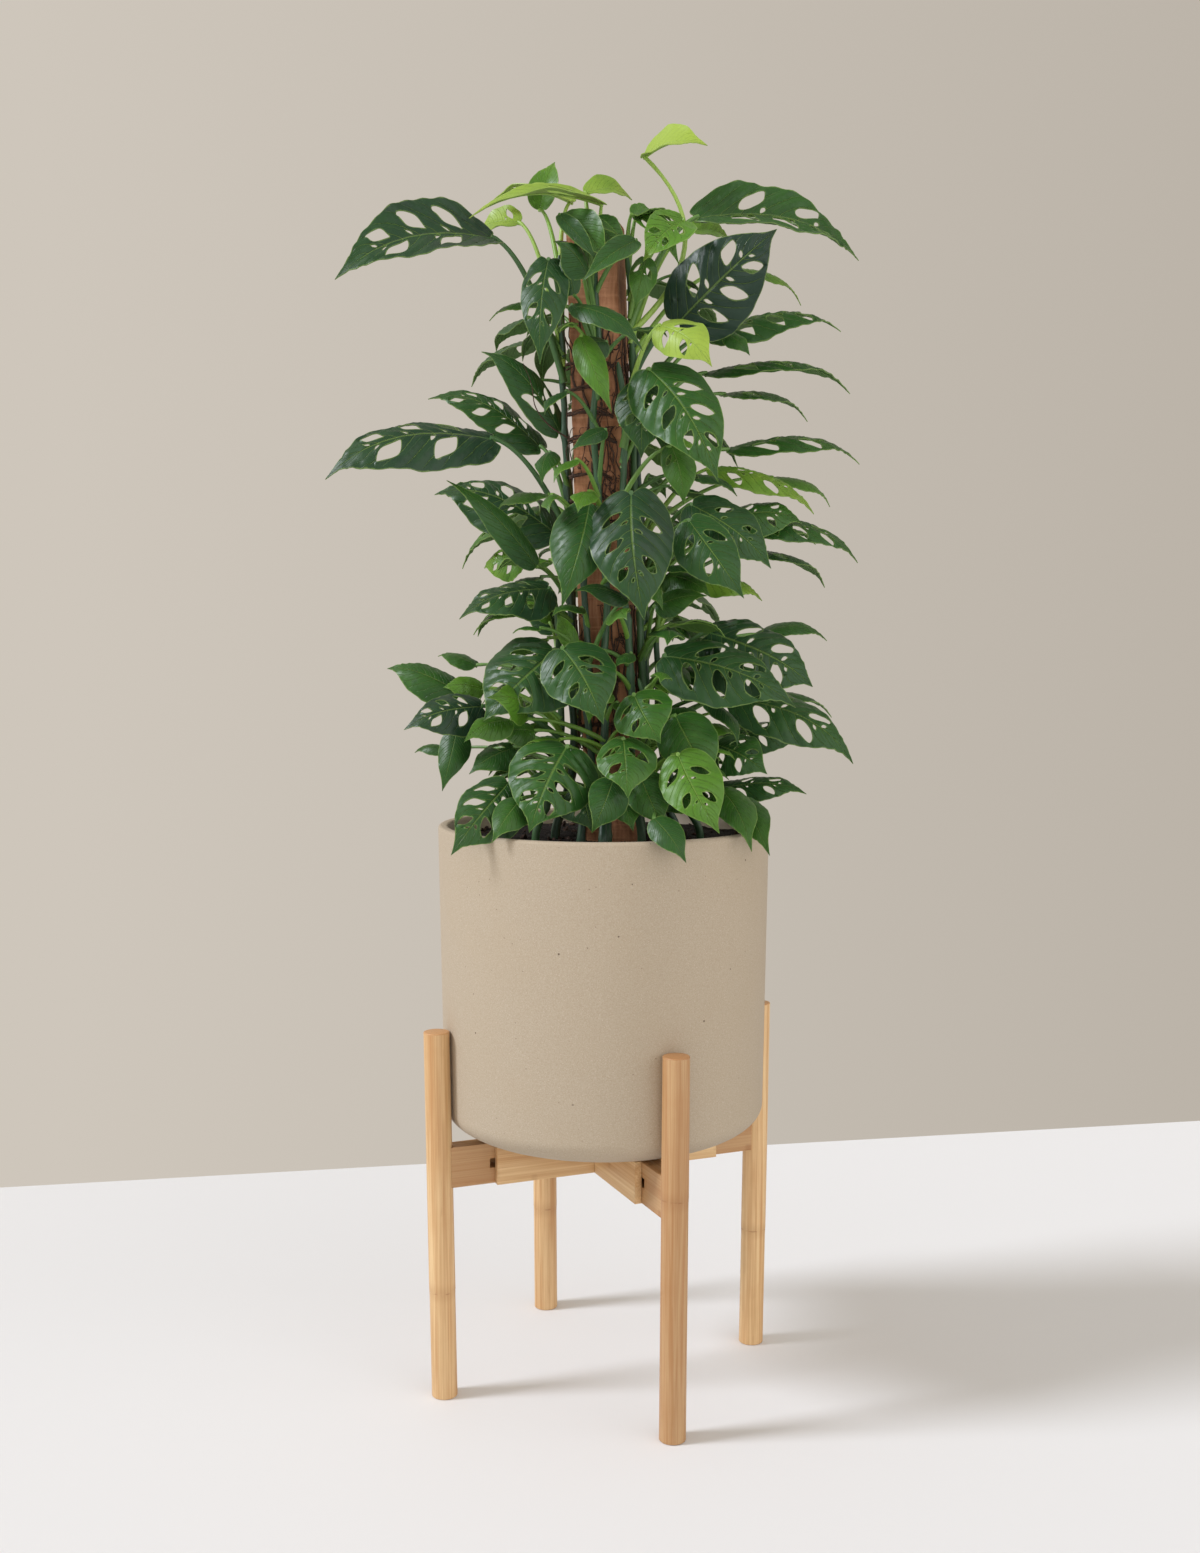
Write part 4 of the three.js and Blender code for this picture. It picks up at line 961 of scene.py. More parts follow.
OUTLINES = {
    "small": [(0.02, 0.5), (0.16, 0.9), (0.38, 1), (0.62, 0.74), (0.83, 0.34)],
    "medium": [(-0.03, 0.34), (0.07, 0.76), (0.25, 0.98), (0.46, 0.96), (0.67, 0.68), (0.86, 0.28)],
    "large": [
        (-0.04, 0.3), (0.03, 0.66), (0.16, 0.93), (0.34, 1), (0.54, 0.87), (0.73, 0.58), (0.89, 0.22),
    ],
}


def number_stream(seed):
    """A function that gives the next of a repeatable stream of numbers between 0 and 1."""
    state = seed

    def draw():
        nonlocal state
        state = state * 16807 % 2147483647
        return state / 2147483647

    return draw


def seen(right, height, depth):
    """The place at a depth on the sight line to a point of the plane through the axis."""
    share = (depth - EYE[1]) / -EYE[1]
    return EYE + (np.array((right, 0.0, height)) - EYE) * share


def heading(turn):
    """The level direction at a turn about the axis."""
    return np.array((math.cos(turn), math.sin(turn), 0))


def stem_path(vine):
    """A stem's path from under the soil, up beside the post."""
    clearance = OUTER_STEM_CLEARANCE if vine.outer else STEM_CLEARANCE
    foot = np.array((*post_centre(SOIL_TOP), SOIL_TOP)) + vine.foot * heading(vine.turn)
    points = [foot - (0, 0, PLANTING_DEPTH - 1), foot + (0, 0, 8)]
    climb_from = SOIL_TOP + 80
    rises = 3 if vine.outer else 5
    for i in range(rises + 1):
        height = climb_from + (vine.top - climb_from) * i / rises
        sway = vine.turn + 0.04 * math.sin(2.1 * i + vine.degrees)
        out = post_reach(sway) + STEM_RADIUS + clearance + (3 if i == 0 else 0)
        points.append(np.array((*post_centre(height), height)) + out * heading(sway))
    points.insert(2, (points[1] + points[2]) / 2 - (0, 0, 6))
    return np.array(points)


def stem_at(path, height):
    """The place on a stem's path at a height."""
    return np.array([np.interp(height, path[:, 2], path[:, axis]) for axis in range(3)])


def new_leaf(vine, start, base, tip, via=None, fold=BLADE_FOLD, **form):
    """A leaf with its stalk from start to base, which bows towards the seen place via if given."""
    reach = base - start
    rise = STALK_LIFT * reach[2] + STALK_RISE * np.linalg.norm(reach)
    bend = start + reach * 0.5 + (0, 0, rise) if via is None else seen(*via, base[1])
    return SimpleNamespace(
        vine=vine, start=start, bend=bend, base=base, tip=tip, fold=fold, **form
    )


def listed_leaf(vine, row):
    """A leaf from its row of the growing plan."""
    climb, right, height, depth, *tip, width, facing, holes, tone = row[:11]
    start = stem_at(vine.path, climb)
    turn = math.radians(facing)
    up = np.array((0, -math.sin(turn), math.cos(turn)))
    fold = RAISED_FOLD if height > RAISED_ABOVE else BLADE_FOLD
    via = row[11] if len(row) > 11 else None
    form = {"width": width, "up": up, "holes": holes, "tone": tone}
    return new_leaf(vine, start, seen(right, height, depth), seen(*tip), via, fold, **form)


def drawn_leaf(vine, start, swing, rule, draw):
    """A leaf by a rule, with its stalk towards swing. Its holes, width and tone come later."""

    def size(least, spread):
        return least + spread * draw()

    out = heading(swing)
    length = size(*rule.length)
    base = start + out * size(*rule.stalk) + (0, 0, size(*rule.lift))
    ahead = heading(swing + rule.veer * (draw() - 0.5)) if rule.veer else out
    tip = base + ahead * length * rule.reach - (0, 0, length * size(*rule.drop))
    return new_leaf(vine, start, base, tip, length=length, up=rule.facing * out + (0, 0, 1))


def ruled_leaves(vine, seed, low, high):
    """Leaves by rule between two heights of a stem, to its left and right in turn."""
    draw = number_stream(seed)
    leaves = []
    for i in range(BACK_LEAVES):
        climb = low + (high - low) * (i + 0.4 * draw()) / (BACK_LEAVES - 1)
        swing = math.radians(vine.degrees + (34 if i % 2 else -34) + 24 * (draw() - 0.5))
        leaf = drawn_leaf(vine, stem_at(vine.path, climb), swing, BACK_RULE, draw)
        leaf.width = 0.52 * leaf.length
        leaf.holes = 2
        leaf.tone = 0.22 + 0.1 * (i % 4)
        leaves.append(leaf)
    return leaves


def size_of(leaf):
    """The name of a leaf's outline, which goes by its holes."""
    if leaf.holes >= 4:
        return "large"
    return "medium" if leaf.holes >= 1 else "small"


def outline_of(leaf):
    return OUTLINES[size_of(leaf)]


def half_width_at(outline, u):
    """An outline's half width at u, which runs from the blade's base (0) to its tip (1)."""
    points = np.array([*outline, (1, 0)])
    if u < points[0][0]:
        slope = (points[1][1] - points[0][1]) / (points[1][0] - points[0][0])
        return points[0][1] + slope * (u - points[0][0])
    return float(np.interp(u, points[:, 0], points[:, 1]))


def gathered(leaves, name):
    """One value of every leaf, as an array with a row for each."""
    return np.array([getattr(leaf, name) for leaf in leaves], float)


def blade_frames(leaves):
    """Base, length and directions along, out of and across each blade, as arrays."""
    base = gathered(leaves, "base")
    chord = gathered(leaves, "tip") - base
    length = np.linalg.norm(chord, axis=1)
    along = chord / length[:, None]
    up = gathered(leaves, "up")
    out = up - along * (up * along).sum(axis=1)[:, None]
    out /= np.linalg.norm(out, axis=1)[:, None]
    return base, length, along, out, np.cross(along, out)


def blade_places(leaves, u, v):
    """Places of (u, v) on arched, folded and waved blades, one row of places for each."""
    base, length, along, out, across = blade_frames(leaves)
    width = gathered(leaves, "width")[:, None]
    fold = gathered(leaves, "fold")[:, None]
    rise = BLADE_ARCH * length[:, None] * u * (1 - u)
    rise = rise - fold * width * np.abs(v) ** 1.6
    rise = rise + BLADE_WAVE * width * v * v * np.sin(9 * u + 2 * width)
    return (
        base[:, None]
        + along[:, None] * (u * length[:, None])[..., None]
        + across[:, None] * (v * width / 2)[..., None]
        + out[:, None] * rise[..., None]
    )


def stalk_places(leaves, t):
    """Places at the shares t along the leaves' stalks, one row of places for each leaf."""
    start, bend, base = (gathered(leaves, end)[:, None] for end in ("start", "bend", "base"))
    t = t[None, :, None]
    return start * (1 - t) ** 2 + bend * 2 * t * (1 - t) + base * t * t


STALK_SHARES = np.array([0.35, 0.5, 0.65, 0.8, 0.92])
BLADE_SHARES = [
    (u, share)
    for u in (0, 0.14, 0.28, 0.42, 0.56, 0.7, 0.84, 1)
    for share in (-1, -0.6, -0.2, 0.2, 0.6, 1)
]
FORE_AND_AFT = np.array((0.45, 1, 0.45))


def holder_push(places, on_stalk):
    """How the post, the soil and the pot's wall push on each sampled place."""
    push = np.zeros_like(places)
    x, y, z = places[..., 0], places[..., 1], places[..., 2]
    offset = places[..., :2] - post_centre(z)
    across, back = offset[..., 0], offset[..., 1]
    c, s = math.cos(-POST_TURN), math.sin(-POST_TURN)
    local = np.stack((c * across - s * back, s * across + c * back))
    clearance = np.where(on_stalk, STALK_CLEARANCE, BLADE_CLEARANCE)
    inside = POST_HALF + clearance - np.abs(local).max(axis=0)
    held = (inside > 0) & (z < POST_TOP + BLADE_CLEARANCE)
    away = offset / np.linalg.norm(offset, axis=-1)[..., None]
    push[..., :2] += away * np.where(held, inside, 0)[..., None]
    radius = np.hypot(x, y)
    outer = POT_RIM_RADIUS + BLADE_CLEARANCE
    inner = POT_RIM_RADIUS - 2 * POT_WALL
    walled = (radius > inner) & (radius < outer) & (z < POT_RIM - 2)
    amount = np.where(walled, outer - radius, 0) / radius
    push[..., 0] += x * amount
    push[..., 1] += y * amount
    level = np.where(radius < outer, POT_RIM + 5, 0)
    over_soil = (radius <= inner) & (z < SOIL_TOP + BLADE_CLEARANCE)
    on_rim = (radius < POT_RIM_RADIUS + 2) & (z < level) & (z >= POT_RIM - 2)
    push[..., 2] += 2 * np.where(over_soil, SOIL_TOP + BLADE_CLEARANCE - z, 0)
    push[..., 2] += 2 * np.where(on_rim & ~over_soil, level - z, 0)
    return push


def sampled_widths(leaf, blade_shares, first):
    """How far across its blade each sampled place lies; those before first lie as there."""
    outline = outline_of(leaf)
    return np.array([share * half_width_at(outline, max(at, first)) for at, share in blade_shares])


def handle_weights():
    """How much each sampled place of a leaf goes with its bend, its base and its tip."""
    t, u = STALK_SHARES, np.array([at for at, _ in BLADE_SHARES])
    return {
        "bend": np.concatenate((2 * t * (1 - t), 0 * u)),
        "base": np.concatenate((t * t, 1 - u)),
        "tip": np.concatenate((0 * t, u)),
    }


def move_handles(leaves, push, weights):
    """Moves each leaf's bend, base and tip by the push on its places, a short step at most."""
    for handle, weight in weights.items():
        moves = 0.5 * (push * weight[None, :, None]).sum(axis=1)
        size = np.linalg.norm(moves, axis=1)
        moves *= (np.minimum(size, SETTLE_STEP) / np.maximum(size, 1e-12))[:, None]
        for leaf, move in zip(leaves, moves):
            setattr(leaf, handle, getattr(leaf, handle) + move)


def settle(leaves, stems):
    """Bends leaves clear of each other, the stems, the post and the pot."""
    u = np.array([[at for at, _ in BLADE_SHARES]] * len(leaves))
    v = np.array([sampled_widths(leaf, BLADE_SHARES, outline_of(leaf)[0][0]) for leaf in leaves])
    weights = handle_weights()
    on_stalk = weights["bend"] > 0
    on_stalks = np.tile(on_stalk, len(leaves))
    owner = np.repeat(np.arange(len(leaves)), len(on_stalk))
    vine_of = np.array([leaf.vine.number for leaf in leaves])
    stem_places = np.concatenate([place for _, place in stems])
    stem_owner = np.concatenate([np.full(len(place), number) for number, place in stems])
    for _ in range(SETTLE_ROUNDS):
        blades = blade_places(leaves, u, v)
        places = np.concatenate((stalk_places(leaves, STALK_SHARES), blades), axis=1)
        push = holder_push(places, on_stalk[None])
        flat, flat_push = places.reshape(-1, 3), push.reshape(-1, 3)
        everything = np.concatenate((flat, stem_places))
        one, other = pairs_within(everything, BLADE_CLEARANCE, len(flat)).T
        with_stem = other >= len(flat)
        own_stem = stem_owner[np.maximum(other - len(flat), 0)] == vine_of[owner[one]]
        other_leaf = owner[one] != owner[np.minimum(other, len(flat) - 1)]
        kept = np.where(with_stem, ~(on_stalks[one] & own_stem), other_leaf)
        one, other, with_stem = one[kept], other[kept], with_stem[kept]
        apart = everything[one] - everything[other]
        distance = np.linalg.norm(apart, axis=1)
        share = np.where(with_stem, 1.0, 0.5) * (BLADE_CLEARANCE - distance) / (distance + 1e-9)
        step = apart * share[:, None]
        np.add.at(flat_push, one, step)
        np.add.at(flat_push, other[~with_stem], -step[~with_stem])
        move_handles(leaves, flat_push.reshape(push.shape) * FORE_AND_AFT, weights)


def pairs_within(places, reach, leafy):
    """Pairs of places nearer than reach, the first of each a leaf's and the lower number."""
    tree = tree_of(places)
    pairs = np.array([
        (i, j)
        for i in range(leafy)
        for _, j, _ in tree.find_range(places[i], reach + 0.01)
        if j > i
    ])
    distance = np.linalg.norm(places[pairs[:, 0]] - places[pairs[:, 1]], axis=1)
    return pairs[distance < reach]


def clear_places(leaf, blade_shares):
    """Sampled places on a leaf's stalk and blade."""
    u = np.array([[at for at, _ in blade_shares]])
    blade = blade_places([leaf], u, sampled_widths(leaf, blade_shares, 0.02)[None])[0]
    return np.concatenate((stalk_places([leaf], STALK_SHARES)[0], blade))


def small_leaf(vine, draw):
    """A small leaf of a vine, drawn near its stem."""
    start = stem_at(vine.path, SMALL_LEAF_LOW + (vine.top - 30 - SMALL_LEAF_LOW) * draw())
    swing = vine.turn + math.radians(150) * (draw() - 0.5)
    leaf = drawn_leaf(vine, start, swing, SMALL_RULE, draw)
    leaf.width = leaf.length * (0.38 + 0.18 * draw())
    leaf.holes = int(draw() > 0.7)
    leaf.tone = 0.28 + 0.45 * draw() ** 2
    return leaf


def small_leaves(vines, leaves):
    """Small leaves that fill the gaps near the stems and touch nothing else."""
    fine = [(at / 15, share / 4) for at in range(16) for share in range(-4, 5)]
    taken = [clear_places(leaf, fine) for leaf in leaves]
    stems = np.concatenate([smooth_line(vine.path, False, 8) for vine in vines])
    kept = []
    for vine in vines:
        draw = number_stream(3001 + 97 * vine.number)
        tree = tree_of(np.concatenate(taken))
        stem_tree = tree_of(stems)
        count = 0
        for _ in range(SMALL_LEAF_TRIES):
            leaf = small_leaf(vine, draw)
            places = clear_places(leaf, BLADE_SHARES)
            blade = places[len(STALK_SHARES):]
            on_stalk = np.arange(len(places)) < len(STALK_SHARES)
            if count == SMALL_LEAVES or holder_push(places[None], on_stalk[None]).any():
                continue
            if min(tree.find(place)[2] for place in places[2:]) < SMALL_LEAF_CLEARANCE:
                continue
            if min(stem_tree.find(place)[2] for place in blade) < SMALL_LEAF_CLEARANCE:
                continue
            kept.append(leaf)
            taken.append(clear_places(leaf, fine))
            tree = tree_of(np.concatenate(taken))
            count += 1
    return kept


def tree_of(places):
    tree = kdtree.KDTree(len(places))
    for i, place in enumerate(places):
        tree.insert(place, i)
    tree.balance()
    return tree


def grow_plan():
    """All vines with their stems' paths, and all leaves bent to where they settle."""
    vines, leaves = [], []
    for number, plan in enumerate([*VINES, *BACK_VINES]):
        name, degrees, foot, top = plan[:4]
        vine = SimpleNamespace(number=number, name=name, degrees=degrees, foot=foot, top=top)
        vine.turn = math.radians(degrees)
        vine.outer = name in OUTER_VINES
        vine.path = stem_path(vine)
        vines.append(vine)
        if len(plan) == 5:
            leaves += [listed_leaf(vine, row) for row in plan[4]]
        else:
            leaves += ruled_leaves(vine, *plan[4:])
    stems = []
    for vine in vines:
        heights = np.arange(SOIL_TOP + 8, vine.top, 2 * STEM_RADIUS)
        stems.append((vine.number, np.array([stem_at(vine.path, height) for height in heights])))
    settle(leaves, stems)
    for vine in vines:
        for row in FILLING_LEAVES.get(vine.name, []):
            leaves.append(listed_leaf(vine, [row[1] - FILLING_DROP, *row]))
    return vines, leaves + small_leaves(vines, leaves)


# Fine leaves

TIP_POINTS = {"small": (0.925, 0.1), "medium": (0.935, 0.085), "large": (0.95, 0.065)}
# A hole's corners: along in its own half lengths, then its share of the blade's half width
HOLE = ((-0.4, 0.15), (1.05, 0.34), (1.5, 0.78), (0.0, 0.56))
BLADE_GRID = 4.2
TIP_DROOP, BLADE_TWIST, BLADE_SWEEP = 0.02, 0.3, 0.035
BLADE_SWELL, RAISED_SWELL, EDGE_HANG, QUILT = 0.04, 0.02, 0.11, 0.026
EDGE_RIPPLE, BLADE_RIPPLE, BLADE_LEAN = 0.01, 0.022, 0.08
TIP_NARROWING, TIP_FROM = 0.78, 0.8
FIRST_HOLE, LAST_HOLE, HOLE_RUN, HOLE_OFFSET = 0.19, 0.83, 0.46, 0.06
MORE_HOLES_WIDTH, PAIRED_HOLES_WIDTH = 40, 60
HOLE_MIDDLE = 0.45


def smooth_line(points, closed, spacing):
    """Points at about a spacing on a smooth curve through the given ones."""
    points = np.asarray(points, float)
    count = len(points)
    last = count - 1
    line = []
    for i in range(count if closed else last):
        near = range(i - 1, i + 3)
        p0, p1, p2, p3 = (points[k % count if closed else min(max(k, 0), last)] for k in near)
        steps = max(2, round(float(np.linalg.norm(p2 - p1)) / spacing))
        for t in np.arange(steps) / steps:
            line.append(0.5 * (
                2 * p1 + (p2 - p0) * t + (2 * p0 - 5 * p1 + 4 * p2 - p3) * t * t
                + (3 * p1 - p0 - 3 * p2 + p3) * t ** 3
            ))
    if not closed:
        line.append(points[-1])
    return np.array(line)


def fine_holes(leaf, side):
    """A blade's holes on one side in (u, v): the large ones, and small ones by the midrib."""
    outline = outline_of(leaf)
    count = (leaf.holes + 1) // 2 if side > 0 else leaf.holes // 2
    if 0 < leaf.holes < 5 and leaf.width > MORE_HOLES_WIDTH:
        count += 1
    spacing = HOLE_RUN / max(count - 1, 1.4)
    fullness = 0.7 + 0.3 * abs(math.sin(5.3 * leaf.width))
    half = (0.22 / (count + 1) + 0.012) * fullness
    rows = []
    for i in range(count):
        u = FIRST_HOLE + spacing * i + (0 if side > 0 else HOLE_OFFSET)
        rows.append((u, half, 1.0))
        if count == 1 and leaf.width > PAIRED_HOLES_WIDTH:
            rows.append((u + min(0.5 * spacing, 0.14) + 0.02, half * 0.6, 0.86))
        rows.append((u + 0.2 * spacing + 0.025, 0.018, 0.34))
    holes = []
    for u, half, reach in rows:
        if u + 1.5 * half < LAST_HOLE:
            spans = [HOLE_MIDDLE + (share - HOLE_MIDDLE) * fullness for _, share in HOLE]
            corners = [(u + half * a, reach * span) for (a, _), span in zip(HOLE, spans)]
            holes.append([(a, side * share * half_width_at(outline, a)) for a, share in corners])
    return holes


def inside_loop(points, loop):
    """Which points lie inside a closed loop."""
    x, y = points[:, :1], points[:, 1:]
    x0, y0 = loop[:, 0], loop[:, 1]
    x1, y1 = np.roll(x0, -1), np.roll(y0, -1)
    crosses = (y0 > y) != (y1 > y)
    reach = x0 + (y - y0) * (x1 - x0) / np.where(y1 == y0, 1e-12, y1 - y0)
    return (crosses & (x < reach)).sum(axis=1) % 2 == 1


def far_from(points, loop, distance):
    """Which points lie further than a distance from every step of a closed loop."""
    step = np.roll(loop, -1, axis=0) - loop
    off = points[:, None] - loop
    share = np.clip((off * step).sum(-1) / np.maximum((step * step).sum(-1), 1e-12), 0, 1)
    return (np.linalg.norm(off - share[..., None] * step, axis=-1) > distance).all(axis=1)


def blade_loops(leaf, length, spacing):
    """A blade's rim and its holes as closed loops of flat points in millimetres."""
    scale = np.array((length, leaf.width / 2))
    neck = 1.6 * STALK_RADIUS / leaf.width
    body = [(at, share * (TIP_NARROWING if at > TIP_FROM else 1)) for at, share in outline_of(leaf)]
    half = [(0, neck), *body, TIP_POINTS[size_of(leaf)], (1, 0)]
    edge = smooth_line(np.array(half) * scale, False, spacing * 0.8)
    ripple = 1 + EDGE_RIPPLE * np.sin(edge[:, 0] / length * 31 + leaf.width)
    edge[1:-1, 1] *= ripple[1:-1]
    lean = BLADE_LEAN * math.sin(3.1 * leaf.width)
    rim = np.concatenate((edge * (1, 1 + lean), (edge * (1, lean - 1))[-2::-1], [(0, 0)]))
    holes = fine_holes(leaf, 1) + fine_holes(leaf, -1)
    return [rim] + [smooth_line(np.array(hole) * scale, True, spacing * 0.5) for hole in holes]


def inner_points(leaf, length, spacing, loops):
    """Points on a blade's midrib, and a grid of points on the rest that is clear of its loops."""
    rim, *holes = loops
    rows = np.arange(-leaf.width / 2, leaf.width / 2, spacing * 0.87)
    grid = np.array([
        (x + (spacing / 2 if i % 2 else 0), y)
        for i, y in enumerate(rows)
        for x in np.arange(-0.05 * length, length, spacing)
    ])
    grid = grid[inside_loop(grid, rim) & far_from(grid, rim, spacing * 0.55)]
    for hole in holes:
        grid = grid[~inside_loop(grid, hole) & far_from(grid, hole, spacing * 0.5)]
    grid = grid[np.abs(grid[:, 1]) > spacing * 0.5]
    midrib = np.stack((np.arange(spacing, length - spacing, spacing),) * 2, axis=1) * (1, 0)
    return midrib[inside_loop(midrib, rim)], grid


def flat_blade(leaf, length):
    """A blade's flat points in millimetres, its triangles around its holes, and its rims."""
    spacing = BLADE_GRID * min(1.0, 0.55 + leaf.width / 160)
    loops = blade_loops(leaf, length, spacing)
    midrib, grid = inner_points(leaf, length, spacing, loops)
    points, edges = [], []
    for loop in loops:
        first = len(points)
        points += loop.tolist()
        edges += [(first + i, first + (i + 1) % len(loop)) for i in range(len(loop))]
    inner = len(points)
    edges += [(inner + i, inner + i + 1) for i in range(len(midrib) - 1)]
    points += midrib.tolist() + grid.tolist()
    made = geometry.delaunay_2d_cdt([Vector(point) for point in points], edges, [], 2, 1e-5)
    flat = np.array([tuple(point) for point in made[0]])
    rims = np.array([float(any(k < inner for k in sources)) for sources in made[3]])
    triangles = np.array(made[2])
    centres = flat[triangles].mean(axis=1)
    kept = inside_loop(centres, loops[0])
    for loop in loops[1:]:
        kept &= ~inside_loop(centres, loop)
    triangles = triangles[kept]
    a, b, c = (flat[triangles[:, k]] for k in range(3))
    area = (b[:, 0] - a[:, 0]) * (c[:, 1] - a[:, 1]) - (c[:, 0] - a[:, 0]) * (b[:, 1] - a[:, 1])
    triangles[area > 0] = triangles[area > 0][:, ::-1]
    return split_strips(flat, triangles, rims)


def sides_of(face):
    """A triangle's sides as pairs of corners, the lower number first."""
    return [tuple(sorted((face[k], face[k - 2]))) for k in range(3)]


def split_strips(flat, triangles, rims):
    """Halves each inner edge that runs from rim to rim, so that a margin stays a thin line."""
    uses = {}
    for face in triangles:
        for pair in sides_of(face):
            uses[pair] = uses.get(pair, 0) + 1
    middles = {}
    for a, b in uses:
        if uses[a, b] == 2 and rims[a] and rims[b]:
            middles[a, b] = len(flat) + len(middles)
    faces = []
    for face in triangles:
        ring = [corner for k, pair in zip(face, sides_of(face)) for corner in (k, middles.get(pair))]
        faces += split_face(ring)
    added = [(flat[a] + flat[b]) / 2 for a, b in middles]
    flat = np.array([*flat, *added])
    return flat, np.array(faces), np.concatenate((rims, np.zeros(len(added))))


def split_face(ring):
    """The triangles of a face whose edges may each have a middle point."""
    a, ab, b, bc, c, ca = ring
    count = 3 - ring.count(None)
    if count == 3:
        return [(a, ab, ca), (ab, b, bc), (bc, c, ca), (ab, bc, ca)]
    if count == 0:
        return [(a, b, c)]
    while (count == 1 and ab is None) or (count == 2 and ca is not None):
        a, ab, b, bc, c, ca = b, bc, c, ca, a, ab
    if count == 1:
        return [(a, ab, c), (ab, b, c)]
    return [(ab, b, bc), (a, ab, bc), (a, bc, c)]


def blade_frame(leaf):
    """One blade's length, and its directions out and across."""
    _, length, _, out, across = blade_frames([leaf])
    return float(length[0]), out[0], across[0]


def lifted(leaf, u, v):
    """How far a fine blade's places stand out of the plan's form, and move across."""
    length, out, across = blade_frame(leaf)
    raised = leaf.fold < 0
    swell = (RAISED_SWELL if raised else BLADE_SWELL) * length * 6.75 * u * u * (1 - u)
    hanging = 0 if raised else 1 + 0.5 * math.sin(4.1 * leaf.width)
    hang = -EDGE_HANG * leaf.width * v * v * hanging
    curl = BLADE_TWIST * (2 if leaf.width < 40 else 1)
    twist = curl * math.sin(leaf.width * 1.7 + length) * u * v * leaf.width / 2
    droop = -TIP_DROOP * length * u ** 4
    sweep = BLADE_SWEEP * math.sin(leaf.width * 2.3) * length * 4 * u * (1 - u)
    rise = swell + hang + twist + droop
    return out * rise[:, None] + across * sweep[:, None]


def fine_blade(leaf):
    """A blade's places, triangles, rims and map, with the rise between its veins."""
    length, out, _ = blade_frame(leaf)
    flat, triangles, rims = flat_blade(leaf, length)
    u, v = flat[:, 0] / length, flat[:, 1] / (leaf.width / 2)
    outline = outline_of(leaf)
    local = np.array([max(half_width_at(outline, at), 0.1) for at in u])
    side = np.clip(np.abs(v) / local, 0, 1)
    rows = (u - VEIN_SLANT * side ** VEIN_CURVE) * bpy.context.scene.vine_plant.veins
    depth = -QUILT * (0.4 if leaf.tone > 0.8 else 1.25) * leaf.width
    quilt = depth * np.cos(2 * math.pi * rows) * side ** 0.6 * (1 - side ** 3 * 0.75)
    groove = -0.02 * leaf.width * np.exp(-(flat[:, 1] / 2.6) ** 2)
    wave = np.sin(17 * u + leaf.width + 2 * np.sign(v))
    ripple = BLADE_RIPPLE * leaf.width * side ** 3 * wave
    places = blade_places([leaf], u[None], v[None])[0] + lifted(leaf, u, v)
    places += out * ((quilt + ripple) * np.minimum(1, 3 * local) + groove)[:, None]
    return places, triangles, rims, np.stack((u, 0.5 + 0.5 * side * np.sign(v)), axis=1)


def midrib_line(leaf, count=12):
    """A line just under the middle of a fine blade."""
    _, out, _ = blade_frame(leaf)
    u = np.linspace(-0.01, 0.95, count)
    line = blade_places([leaf], u[None], 0 * u[None])[0] + lifted(leaf, u, 0 * u)
    drop = 0.02 * leaf.width + np.linspace(1.5, 0.9, count)
    return line - out * drop[:, None]


class MeshParts:
    """Corners, faces, finishes, tones and rims that are gathered into one mesh."""

    def __init__(self):
        self.corners, self.faces, self.finishes = [], [], []
        self.tones, self.rims, self.maps = [], [], []
        self.count = 0

    def add(self, corners, faces, finish, tone, rim=None, blade_map=None):
        count = len(corners)
        self.corners.append(corners)
        self.faces += [tuple(int(k) + self.count for k in face) for face in faces]
        self.finishes += [finish] * len(faces)
        self.tones.append(np.full(count, tone))
        self.rims.append(np.zeros(count) if rim is None else rim)
        self.maps.append(np.zeros((count, 2)) if blade_map is None else blade_map)
        self.count += count

    def mesh(self, name):
        mesh = bpy.data.meshes.new(name)
        mesh.from_pydata((np.concatenate(self.corners) * MM).tolist(), [], self.faces)
        mesh.polygons.foreach_set("material_index", self.finishes)
        for label, values in (("tone", self.tones), ("rim", self.rims)):
            attribute = mesh.attributes.new(label, "FLOAT", "POINT")
            attribute.data.foreach_set("value", np.concatenate(values))
        loops = np.zeros(len(mesh.loops), int)
        mesh.loops.foreach_get("vertex_index", loops)
        places = np.concatenate(self.maps)[loops]
        mesh.uv_layers.new(name="Blade").data.foreach_set("uv", places.ravel())
        return mesh


def rounded_stem(vine):
    """The stem's path as a wavy line that swells and kinks a little at each joint."""
    line = smooth_line(vine.path, False, 6)
    joint = line[:, 2] / (52 + vine.number % 4 * 5) + vine.number * 0.37
    zigzag = 2.2 * np.abs((joint % 2) - 1) - 1.1
    free = np.clip((line[:, 2] - SOIL_TOP - 20) / 60, 0, 1)
    outward = heading(vine.turn)
    sideways = np.array((-outward[1], outward[0], 0))
    wander = 2.6 * np.sin(line[:, 2] / 41 + vine.number)
    line = line + sideways * ((zigzag * 1.4 + wander) * free)[:, None]
    line += outward * (np.abs(zigzag) * 1.2 * free)[:, None]
    knots = np.abs(joint % 1 - 0.5) * 2
    taper = 1 - 0.28 * (line[:, 2] - SOIL_TOP) / (vine.top - SOIL_TOP)
    radii = STEM_RADIUS * taper * (0.92 + 0.28 * np.clip((knots - 0.75) / 0.25, 0, 1) ** 2)
    radii[-3:] *= (0.9, 0.7, 0.35)
    return line, radii


